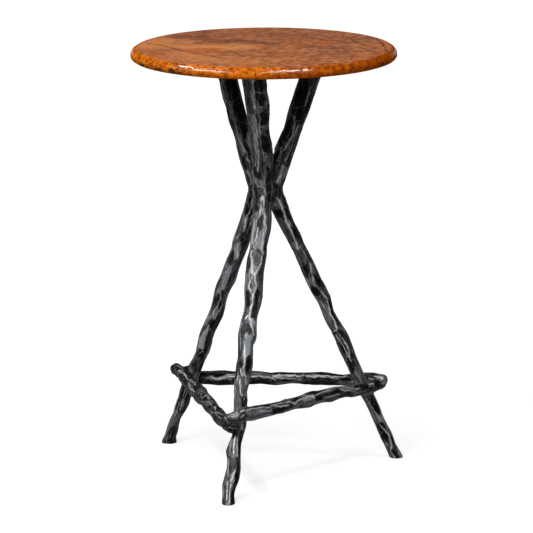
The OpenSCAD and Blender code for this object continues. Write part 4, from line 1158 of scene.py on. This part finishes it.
parts = []
for seed, name in enumerate(legNames, 51):
    bar = bars[name]

    # a fillet that grows from nothing at its foot to its full width at the plate
    def plateField(points, z):
        rise = 1 - (legBar["height"] - z) / plateWeld["depth"]    # 0 at the foot of the weld, 1 at the plate
        fillet = plateWeld["width"] * (1 - math.sqrt(1 - rise ** 2))
        return roughened(gapTo(bar, points, bar["path"][-1], plateWeld["near"]) - fillet, points, plateWeld, seed)

    def centreAt(z):
        return np.array([np.interp(z, bar["path"][:, 2], bar["path"][:, axis]) for axis in (0, 1, 2)])

    down = plateWeld["depth"] * np.linspace(1, 0, plateWeld["rings"]) ** plateWeld["crowding"]
    levels = legBar["height"] - down - plateWeld["clear"]
    points, faces = collarPoints(levels, centreAt, plateWeld, plateField)
    parts.append((points, faces, weldMarks(points, [name], bar["path"][-1], plateWeld["near"], seed)))
piece = joinWelds("weld_plate", parts)
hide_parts("plate_welds")
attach(piece, "root")
print("welds laid")

# ---- table top
topSlab = {
    "radius": 0.2029,
    "upper": 0.660,
    "thickness": 0.018,
    # the rounded shoulder: metres down the edge, and degrees above level that the surface faces there
    "shoulder": [(0, 83), (0.0075, 43), (0.0115, 36.5), (0.0150, 0)],
    "lowerEase": 0.0075,
    "grid": 260,
    "scallopLong": (0.006, 0.020),
    "scallopTall": (0.004, 0.009),
    "scallopDeep": (0.0002, 0.0008),
    "scallops": 330,
    "scallopFade": 0.003,
    "shoulderSteps": 19,
    "easeSteps": 10,
    "borderRing": (0.0004, -0.00002),    # out and down from the flat's border
    "underLap": 0.004,     # how far in the underside's last ring lies
    "seed": 7,
}
# Cracks and dark figure in the slab, as points on the top in metres: the path, width and strength.
slabCracks = [
    ([(-0.179, -0.012), (-0.158, -0.019), (-0.135, -0.040), (-0.104, -0.069), (-0.070, -0.093), (-0.053, -0.105),
      (-0.027, -0.120)], 0.0016, 0.9),
    ([(-0.096, -0.039), (-0.081, -0.047), (-0.054, -0.053), (-0.033, -0.064), (-0.003, -0.093)], 0.0014, 0.7),
    ([(0.029, 0.137), (0.049, 0.099), (0.080, 0.083), (0.130, 0.065)], 0.0016, 0.8),
    ([(0.090, 0.135), (0.109, 0.107), (0.129, 0.070)], 0.0014, 0.7),
    ([(0.132, 0.130), (0.149, 0.113), (0.163, 0.085), (0.187, 0.014), (0.192, -0.004)], 0.0018, 0.9),
]
slabShades = [
    ([(-0.156, 0.061), (-0.137, 0.074), (-0.118, 0.086)], 0.017, 0.7),
    ([(-0.118, 0.070), (-0.077, 0.036), (-0.052, 0.052), (-0.023, 0.034), (0.006, 0.034)], 0.017, 0.85),
    ([(0.066, 0.024), (0.090, 0.008), (0.108, 0.008)], 0.010, 0.6),
]
slabReds = [
    ([(-0.13, 0.10), (-0.04, 0.135), (0.05, 0.13), (0.12, 0.10)], 0.060, 0.85),
    ([(0.03, 0.00), (0.10, -0.01), (0.15, 0.02)], 0.045, 0.5),
]
slabGlows = [
    ([(-0.100, -0.030), (-0.075, -0.012), (-0.045, -0.025), (-0.030, -0.004)], 0.022, 0.8),
    ([(-0.10, -0.09), (-0.06, -0.13), (0.0, -0.15)], 0.030, 0.4),
    ([(-0.165, 0.024), (-0.172, -0.040), (-0.135, -0.022), (-0.092, -0.040)], 0.026, 0.6),
]
# Each kind of stroke: how far it wanders in metres, and the seed of that.
slabDrawing = {
    "crack": (slabCracks, 0.0035, 71),
    "shade": (slabShades, 0.015, 73),
    "glow": (slabGlows, 0.012, 75),
    "red": (slabReds, 0.012, 77),
}
strokeLump = 0.022
crackDepth = 0.0005


def strokeMask(points, strokes, wobble, seed):
    mask = np.zeros(len(points))
    aside = [lumps(points, strokeLump, seed), lumps(points, strokeLump, seed + 1), np.zeros(len(points))]
    moved = points + wobble * np.stack(aside, -1)
    for path, width, strength in strokes:
        path = np.array(path)
        nearest = np.full(len(points), 9.0)
        for a, b in zip(path[:-1], path[1:]):
            t = np.clip(((moved[:, :2] - a) @ (b - a)) / ((b - a) @ (b - a)), 0, 1)
            nearest = np.minimum(nearest, np.linalg.norm(moved[:, :2] - a - t[:, None] * (b - a), axis=1))
        mask = np.maximum(mask, strength * np.exp(-(nearest / width) ** 2))
    return mask


# The flat of the top: a square grid drawn round, with the points of its border in turn, anticlockwise.
def slabFlat(n, radius, upper):
    a, b = np.meshgrid(np.linspace(-1, 1, n + 1), np.linspace(-1, 1, n + 1), indexing="ij")
    wide = np.abs(a) > np.abs(b)
    safeA, safeB = np.where(a == 0, 1, a), np.where(b == 0, 1, b)
    reach = np.where(wide, a, b)
    angle = np.where(wide, math.pi / 4 * b / safeA, math.pi / 2 - math.pi / 4 * a / safeB)
    flat = np.stack([reach * np.cos(angle) * radius, reach * np.sin(angle) * radius, np.full(a.shape, upper)], -1)
    i, j = np.meshgrid(np.arange(n), np.arange(n), indexing="ij")
    cell = i * (n + 1) + j
    faces = np.stack([cell, cell + n + 1, cell + n + 2, cell + 1], -1).reshape(-1, 4).tolist()
    border = [k * (n + 1) for k in range(n)] + [n * (n + 1) + k for k in range(n)]
    border += [(n - k) * (n + 1) + n for k in range(n)] + [n - k for k in range(n)]
    return flat.reshape(-1, 3), faces, np.array(border)


# The edge's outline in metres out from the flat's border and up from it, and how far out it goes.
def edgeOutline(spec):
    slant = np.linspace(0, spec["shoulder"][-1][0], spec["shoulderSteps"])
    facing = np.radians(np.interp(slant, *np.transpose(spec["shoulder"])))
    facing = (facing[1:] + facing[:-1]) / 2
    shoulder = np.cumsum(np.stack([np.sin(facing), -np.cos(facing)], -1) * slant[1], axis=0)
    over, up = shoulder[-1][0], -shoulder[-1][1]
    down, t = spec["lowerEase"], spec["thickness"]
    outline = [spec["borderRing"]] + [tuple(point) for point in shoulder]
    outline += [(over, -up - (t - up - down) * k / 3) for k in (1, 2)]
    outline += [(over - down * (1 - math.cos(q)), -t + down * (1 - math.sin(q)))
                for q in np.linspace(0, math.pi / 2, spec["easeSteps"])]
    outline += [(over - down - spec["underLap"], -t)]
    return np.array(outline), over


# How deep the chisel's scallops cut into the edge, by distance down it and angle round it.
def scallopCuts(spec, slant, around):
    rng = np.random.default_rng(spec["seed"])
    cuts = np.zeros((len(slant), len(around)))
    for _ in range(spec["scallops"]):
        at, height = rng.uniform(-math.pi, math.pi), rng.uniform(0, slant[-2])
        long, tall, deep = (rng.uniform(*spec[key]) for key in ("scallopLong", "scallopTall", "scallopDeep"))
        x = wrapTurn(around - at) * spec["radius"] / long
        cuts = np.maximum(cuts, deep * (1 - x[None] ** 2 - ((slant[:, None] - height) / tall) ** 2))
    fade = np.clip(slant / spec["scallopFade"], 0, 1) * np.clip((slant[-2] - slant) / spec["scallopFade"], 0, 1)
    return cuts * fade[:, None]


def slabMesh(spec):
    outline, over = edgeOutline(spec)
    flatRadius = spec["radius"] - over
    flat, faces, border = slabFlat(spec["grid"], flatRadius, spec["upper"])
    around = np.arctan2(flat[border, 1], flat[border, 0])
    slant = np.concatenate([[0], np.cumsum(np.linalg.norm(np.diff(outline, axis=0), axis=1))])
    radius = flatRadius + outline[:, 0][:, None] - scallopCuts(spec, slant, around)
    rim = np.stack([radius * np.cos(around), radius * np.sin(around),
                    np.broadcast_to(spec["upper"] + outline[:, 1][:, None], radius.shape)], -1)
    count, base = len(border), len(flat)
    ring = np.arange(count)
    nextOne = (ring + 1) % count
    faces += np.stack([border, base + ring, base + nextOne, border[nextOne]], -1).tolist()
    for k in range(len(outline) - 1):
        low, high = base + (k + 1) * count, base + k * count
        faces += np.stack([high + ring, low + ring, low + nextOne, high + nextOne], -1).tolist()
    last = base + (len(outline) - 1) * count
    faces.append((last + ring[::-1]).tolist())
    points = np.concatenate([flat, rim.reshape(-1, 3)])
    height = np.concatenate([np.zeros(base), np.repeat(slant, count)])
    angles = np.concatenate([np.zeros(base), np.tile(around, len(outline))])
    return points, faces, height, angles


# Burnt looking spots on the rim: degrees round the top, distance down the edge, half length, half height, strength.
rimSpots = [(-139, 0.020, 0.020, 0.005, 0.6), (-126, 0.018, 0.016, 0.005, 0.75), (-116, 0.017, 0.013, 0.005, 0.9),
            (-13, 0.018, 0.012, 0.007, 0.65), (-2, 0.023, 0.016, 0.004, 0.65), (-50, 0.025, 0.010, 0.003, 0.5)]
# Further spots by chance, on the side away from the camera: the same five values, each between two.
chanceSpots = [(10, 215), (0.015, 0.028), (0.008, 0.02), (0.003, 0.006), (0.5, 1)]
chanceCount = 9
# Arcs of the shoulder that are rubbed up to a gloss: degrees round the top, half width in degrees, strength.
rimGloss = [(-104.5, 13, 1.0), (-65.4, 11, 1.0), (12, 12, 0.4), (74, 12, 0.8), (138, 15, 0.8), (196, 10, 0.4)]
# The redder side of the rim, in the same way.
rimFlush = [(-22, 45, 0.7)]


def spotMask(rimRun, angles, spots, seed):
    rng = np.random.default_rng(seed)
    spots = spots + [[rng.uniform(*span) for span in chanceSpots] for _ in range(chanceCount)]
    mask = np.zeros(len(rimRun))
    for degrees, down, long, tall, strength in spots:
        x = wrapTurn(angles - math.radians(degrees)) * topSlab["radius"] / long
        mask = np.maximum(mask, strength * np.exp(-x ** 2 - ((rimRun - down) / tall) ** 2))
    return np.where(rimRun > 0, mask, 0)


def glossMask(angles, arcs):
    mask = np.zeros(len(angles))
    for degrees, half, strength in arcs:
        away = np.degrees(wrapTurn(angles - math.radians(degrees)))
        mask = np.maximum(mask, strength * np.exp(-(away / half) ** 4))
    return mask


points, faces, rimRun, angles = slabMesh(topSlab)
onTop = rimRun <= 0
marks = {label: np.where(onTop, strokeMask(points, *drawn), 0) for label, drawn in slabDrawing.items()}
marks.update({"rim": rimRun, "burnt": spotMask(rimRun, angles, rimSpots, 9), "gloss": glossMask(angles, rimGloss),
              "flush": glossMask(angles, rimFlush)})
points[:, 2] -= crackDepth * marks["crack"]
print("slab shaped,", len(points), "points")


burlFigure = {
    "push": {"Scale": 16.0, "Detail": 3.0},
    "bands": {"Scale": 26.0, "Distortion": 14.0, "Detail": 4.0, "Detail Scale": 1.6, "Detail Roughness": 0.6},
    "eyes": {"Scale": 95.0, "Randomness": 1.0},
    # scale, detail, roughness and distortion
    "pores": (420, 4, 0.65),
    "clouds": (13, 4, 0.6, 0.6),
}


# Burl figure: swirled bands, small eyes, soft clouds and fine pores.
def burlGroup():
    group, given, out = newGroup(
        "burlFigure",
        [("Place", arrow, None), ("Scale", number, 1.0), ("Swirl", number, 0.02)],
        [("Bands", number), ("Eyes", number), ("Pores", number), ("Clouds", number)])
    place = scaledVector(group, given.outputs["Place"], given.outputs["Scale"])
    push = put(group, "ShaderNodeTexNoise", {"Vector": place, **burlFigure["push"]}).outputs["Color"]
    push = put(group, "ShaderNodeVectorMath", {0: push, 1: (0.5, 0.5, 0.5)}, operation="SUBTRACT").outputs[0]
    push = scaledVector(group, push, given.outputs["Swirl"])
    swirled = put(group, "ShaderNodeVectorMath", {0: place, 1: push}, operation="ADD").outputs[0]
    wave = put(group, "ShaderNodeTexWave", {"Vector": swirled, **burlFigure["bands"]}, bands_direction="DIAGONAL")
    eyes = put(group, "ShaderNodeTexVoronoi", {"Vector": swirled, **burlFigure["eyes"]}, feature="SMOOTH_F1")
    group.links.new(wave.outputs["Fac"], out.inputs["Bands"])
    group.links.new(eyes.outputs["Distance"], out.inputs["Eyes"])
    group.links.new(speckle(group, swirled, *burlFigure["pores"]), out.inputs["Pores"])
    group.links.new(speckle(group, swirled, *burlFigure["clouds"]), out.inputs["Clouds"])
    return group


burlLook = {
    "bark": (0.080, 0.028, 0.018, 1),
    "russet": (0.20, 0.060, 0.026, 1),
    "amber": (0.45, 0.135, 0.033, 1),
    "honey": (0.70, 0.255, 0.062, 1),
    "edgeDeep": (0.195, 0.033, 0.002, 1),
    "edgeGold": (0.76, 0.200, 0.008, 1),
    "edgeRed": (0.57, 0.100, 0.003, 1),
    "char": (0.034, 0.015, 0.008, 1),
    "dusty": (0.46, 0.22, 0.125, 1),
    "coatRoughness": 0.065,
    "coatIor": 1.7,
    "topCoat": 0.04,
    "shoulderCoat": 0.95,
    "specular": 0.0,
    "roughness": (0.42, 0.55),
    "bump": 0.35,
    "bumpDepth": 0.002,
    "eyeHeight": 0.3,
    "edgeHeight": 0.8,
    "swirl": 0.05,
    "edgeScale": 1.6,
    # shares of bands, eyes, clouds and pores in the figure of the face and of the edge
    "faceFigure": (0.22, 0.55, 0.9, 0.35),
    "edgeFigure": (0.25, 0.8, 0.7, 0.5),
    "amberFrom": (0.68, 1.14),
    "honeyFrom": (1.05, 1.55, 0.0, 0.7),
    "redness": 0.62,
    "glow": 0.9,
    "dustyEyes": (0.30, 0.80, 0.0, 0.45),
    "shadeBreaks": (0.82, 1.15, 0.2, 1.0),
    "goldFrom": (0.68, 1.60),
    "burntBreaks": (0.7, 1.5, 1.7, 0.4),
    "burntFrom": (0.20, 0.75, 0.0, 0.9),
    # metres down the edge
    "edgeFrom": (0.0005, 0.0045),
    "ragged": 0.003,
    # painted shade further down the edge, where it turns away from the lamps: where it starts and ends in metres, then
    # how strong
    "edgeShadeFrom": (0.013, 0.025),
    "edgeShadeStrength": 0.62,
    "glossFrom": (0.0055, 0.0075),
    "glossTo": (0.0120, 0.0140),
    "glossBreaks": (0.38, 0.50, 0.25),
}


def burlMaterial(look):
    material, tree, skin = newMaterial("burlTop")
    spot = objectPlace(tree)
    figure = burlGroup()
    face = put(tree, "ShaderNodeGroup", {"Place": spot, "Scale": 1.0, "Swirl": look["swirl"]}, node_tree=figure)
    edge = put(tree, "ShaderNodeGroup", {"Place": spot, "Scale": look["edgeScale"], "Swirl": look["swirl"]},
               node_tree=figure)

    def mixture(found, shares):
        return blendOf(tree, [found.outputs[key] for key in ("Bands", "Eyes", "Clouds", "Pores")], shares)

    # the face: russet to honey by the figure, with redder and lighter patches, dusty eyes and the dark band
    clouds, pores = face.outputs["Clouds"], face.outputs["Pores"]
    mixed = mixture(face, look["faceFigure"])
    colour = tint(tree, spread(tree, mixed, *look["amberFrom"]), look["russet"], look["amber"])
    colour = tint(tree, spread(tree, mixed, *look["honeyFrom"]), colour, look["honey"])
    colour = tint(tree, sums(tree, "MULTIPLY", layer(tree, "red"), look["redness"]), colour, look["russet"])
    colour = tint(tree, sums(tree, "MULTIPLY", layer(tree, "glow"), look["glow"]), colour, look["honey"])
    colour = tint(tree, spread(tree, face.outputs["Eyes"], *look["dustyEyes"]), colour, look["dusty"])
    breaks = spread(tree, sums(tree, "ADD", clouds, pores), *look["shadeBreaks"])
    colour = tint(tree, sums(tree, "MULTIPLY", layer(tree, "shade"), breaks), colour, look["bark"])
    # the edge: gold and red over a deep brown, with painted shade in that brown further down the edge
    mottle = mixture(edge, look["edgeFigure"])
    rimLight = tint(tree, layer(tree, "flush"), look["edgeGold"], look["edgeRed"])
    rimColour = tint(tree, spread(tree, mottle, *look["goldFrom"]), look["edgeDeep"], rimLight)
    run = layer(tree, "rim")
    edgeShade = sums(tree, "MULTIPLY", spread(tree, run, *look["edgeShadeFrom"]), look["edgeShadeStrength"])
    rimColour = tint(tree, edgeShade, rimColour, look["edgeDeep"])
    uneven = spread(tree, edge.outputs["Clouds"], *noiseRange, -look["ragged"], look["ragged"], smooth=False)
    colour = tint(tree, spread(tree, sums(tree, "ADD", run, uneven), *look["edgeFrom"]), colour, rimColour)
    # burnt spots and cracks over both
    scorched = sums(tree, "MULTIPLY", layer(tree, "burnt"), spread(tree, mottle, *look["burntBreaks"]))
    colour = tint(tree, spread(tree, scorched, *look["burntFrom"]), colour, look["char"])
    colour = tint(tree, layer(tree, "crack"), colour, look["char"])
    tree.links.new(colour, skin.inputs["Base Color"])
    tree.links.new(spread(tree, pores, *noiseRange, *look["roughness"]), skin.inputs["Roughness"])
    skin.inputs["Specular IOR Level"].default_value = look["specular"]
    # clear coat: thin on the face, and a broken gloss on the rubbed arcs of the shoulder
    shoulder = sums(tree, "MULTIPLY", spread(tree, run, *look["glossFrom"]),
                    spread(tree, run, *look["glossTo"], 1.0, 0.0))
    shoulder = sums(tree, "MULTIPLY", shoulder, layer(tree, "gloss"))
    broken = spread(tree, edge.outputs["Pores"], *look["glossBreaks"], look["shoulderCoat"])
    shoulder = sums(tree, "MULTIPLY", shoulder, broken)
    coat = sums(tree, "MAXIMUM", shoulder, spread(tree, run, 0.0, 0.001, look["topCoat"], 0.0))
    tree.links.new(coat, skin.inputs["Coat Weight"])
    skin.inputs["Coat Roughness"].default_value = look["coatRoughness"]
    skin.inputs["Coat IOR"].default_value = look["coatIor"]
    height = sums(tree, "ADD", clouds, sums(tree, "MULTIPLY", face.outputs["Eyes"], look["eyeHeight"]))
    height = sums(tree, "ADD", height, sums(tree, "MULTIPLY", edge.outputs["Clouds"], look["edgeHeight"]))
    addBump(tree, skin, look["bump"], look["bumpDepth"], height)
    return material


burlTop = burlMaterial(burlLook)
piece = buildPiece("burl_tabletop", points, faces, marks, burlTop, flat=(len(faces) - 1,))
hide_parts("tabletop")
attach(piece, "root")
print("top finished")


# ---- plate and screws, kept from the solid model
plateLook = {"scale": 1.0, "dark": (0.012, 0.012, 0.013, 1), "light": (0.03, 0.03, 0.032, 1),
             "roughness": (0.42, 0.6), "metal": 0.0, "bump": 0.2, "bumpDepth": 0.0004}
screwLook = {"scale": 2.0, "dark": (0.30, 0.31, 0.33, 1), "light": (0.55, 0.56, 0.58, 1),
             "roughness": (0.3, 0.5), "metal": 0.9, "bump": 0.0}
patchRange = (0.35, 0.65)    # the part of the blotches over which the colour goes from dark to light


def smoothMetal(name, grit, look):
    material, tree, skin = newMaterial(name)
    given = {"Place": objectPlace(tree), "Scale": look["scale"], "Length": 1.0}
    marks = put(tree, "ShaderNodeGroup", given, node_tree=grit)
    colour = tint(tree, spread(tree, marks.outputs["Blotch"], *patchRange), look["dark"], look["light"])
    tree.links.new(colour, skin.inputs["Base Color"])
    rough = spread(tree, marks.outputs["Streak"], *noiseRange, *look["roughness"])
    tree.links.new(rough, skin.inputs["Roughness"])
    skin.inputs["Metallic"].default_value = look["metal"]
    if look["bump"]:
        addBump(tree, skin, look["bump"], look["bumpDepth"], marks.outputs["Grain"])
    return material


keptNodes = {"mounting_plate": ("platePaint", plateLook), "plate_screws": ("screwZinc", screwLook)}
for node, (name, look) in keptNodes.items():
    material = smoothMetal(name, grit, look)
    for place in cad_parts[node].material_slots:
        place.material = material
print("plate and screws finished")

# ---- floor, world and lamps
studio = {
    "floorColour": (0.55, 0.55, 0.55, 1),
    "floorRoughness": 0.9,
    "floorHalf": 16,
    "farGlow": 0.93,       # the floor's own white for the camera, which drops near the table by nearGlow
    "nearGlow": 0.31,
    "glowFade": 0.513,     # what is left of that drop at each metre further out
    "worldLevel": 0.20,
    "lampsAim": (0, 0, 0.35),
    "lamps": {    # place, size in metres, power in watts
        "frontSoftbox": ((-0.50, -2.60, 2.15), (2.0, 2.0), 80),
        "overheadLeft": ((-1.25, -0.75, 2.60), (1.8, 0.17), 18),
        "overheadRight": ((0.78, -0.78, 2.80), (1.2, 0.20), 11),
    },
}


def layFloor(studio):
    mesh = bpy.data.meshes.new("floor")
    edge = studio["floorHalf"]
    mesh.from_pydata([(-edge, -edge, 0), (edge, -edge, 0), (edge, edge, 0), (-edge, edge, 0)], [], [(0, 1, 2, 3)])
    material, tree, skin = newMaterial("paleFloor")
    seen = plainlySeen(tree)
    skin.inputs["Base Color"].default_value = studio["floorColour"]
    skin.inputs["Roughness"].default_value = studio["floorRoughness"]
    skin.inputs["Specular IOR Level"].default_value = 0.0
    skin.inputs["Emission Color"].default_value = (1, 1, 1, 1)
    away = put(tree, "ShaderNodeVectorMath", {0: objectPlace(tree)}, operation="LENGTH").outputs["Value"]
    drop = sums(tree, "MULTIPLY", sums(tree, "POWER", studio["glowFade"], away), studio["nearGlow"])
    glow = sums(tree, "SUBTRACT", studio["farGlow"], drop)
    tree.links.new(sums(tree, "MULTIPLY", seen, glow), skin.inputs["Emission Strength"])
    mesh.materials.append(material)
    floor = bpy.data.objects.new("floor", mesh)
    scene.collection.objects.link(floor)


def lightWorld(studio):
    world = bpy.data.worlds.new("studioWorld")
    scene.world = world
    world.use_nodes = True
    tree = world.node_tree
    strength = spread(tree, plainlySeen(tree), 0.0, 1.0, studio["worldLevel"], 1.0, smooth=False)
    tree.nodes["Background"].inputs["Color"].default_value = (1, 1, 1, 1)
    tree.links.new(strength, tree.nodes["Background"].inputs["Strength"])


def hangLamps(studio):
    for name, (place, (width, height), power) in studio["lamps"].items():
        lamp = bpy.data.lights.new(name, "AREA")
        lamp.shape = "RECTANGLE"
        lamp.size, lamp.size_y, lamp.energy = width, height, power
        holder = bpy.data.objects.new(name, lamp)
        holder.location = place
        holder.rotation_mode = "QUATERNION"
        holder.rotation_quaternion = (Vector(studio["lampsAim"]) - Vector(place)).to_track_quat("-Z", "Y")
        scene.collection.objects.link(holder)


layFloor(studio)
lightWorld(studio)
hangLamps(studio)
scene.view_settings.view_transform = "Standard"
print("studio lit")
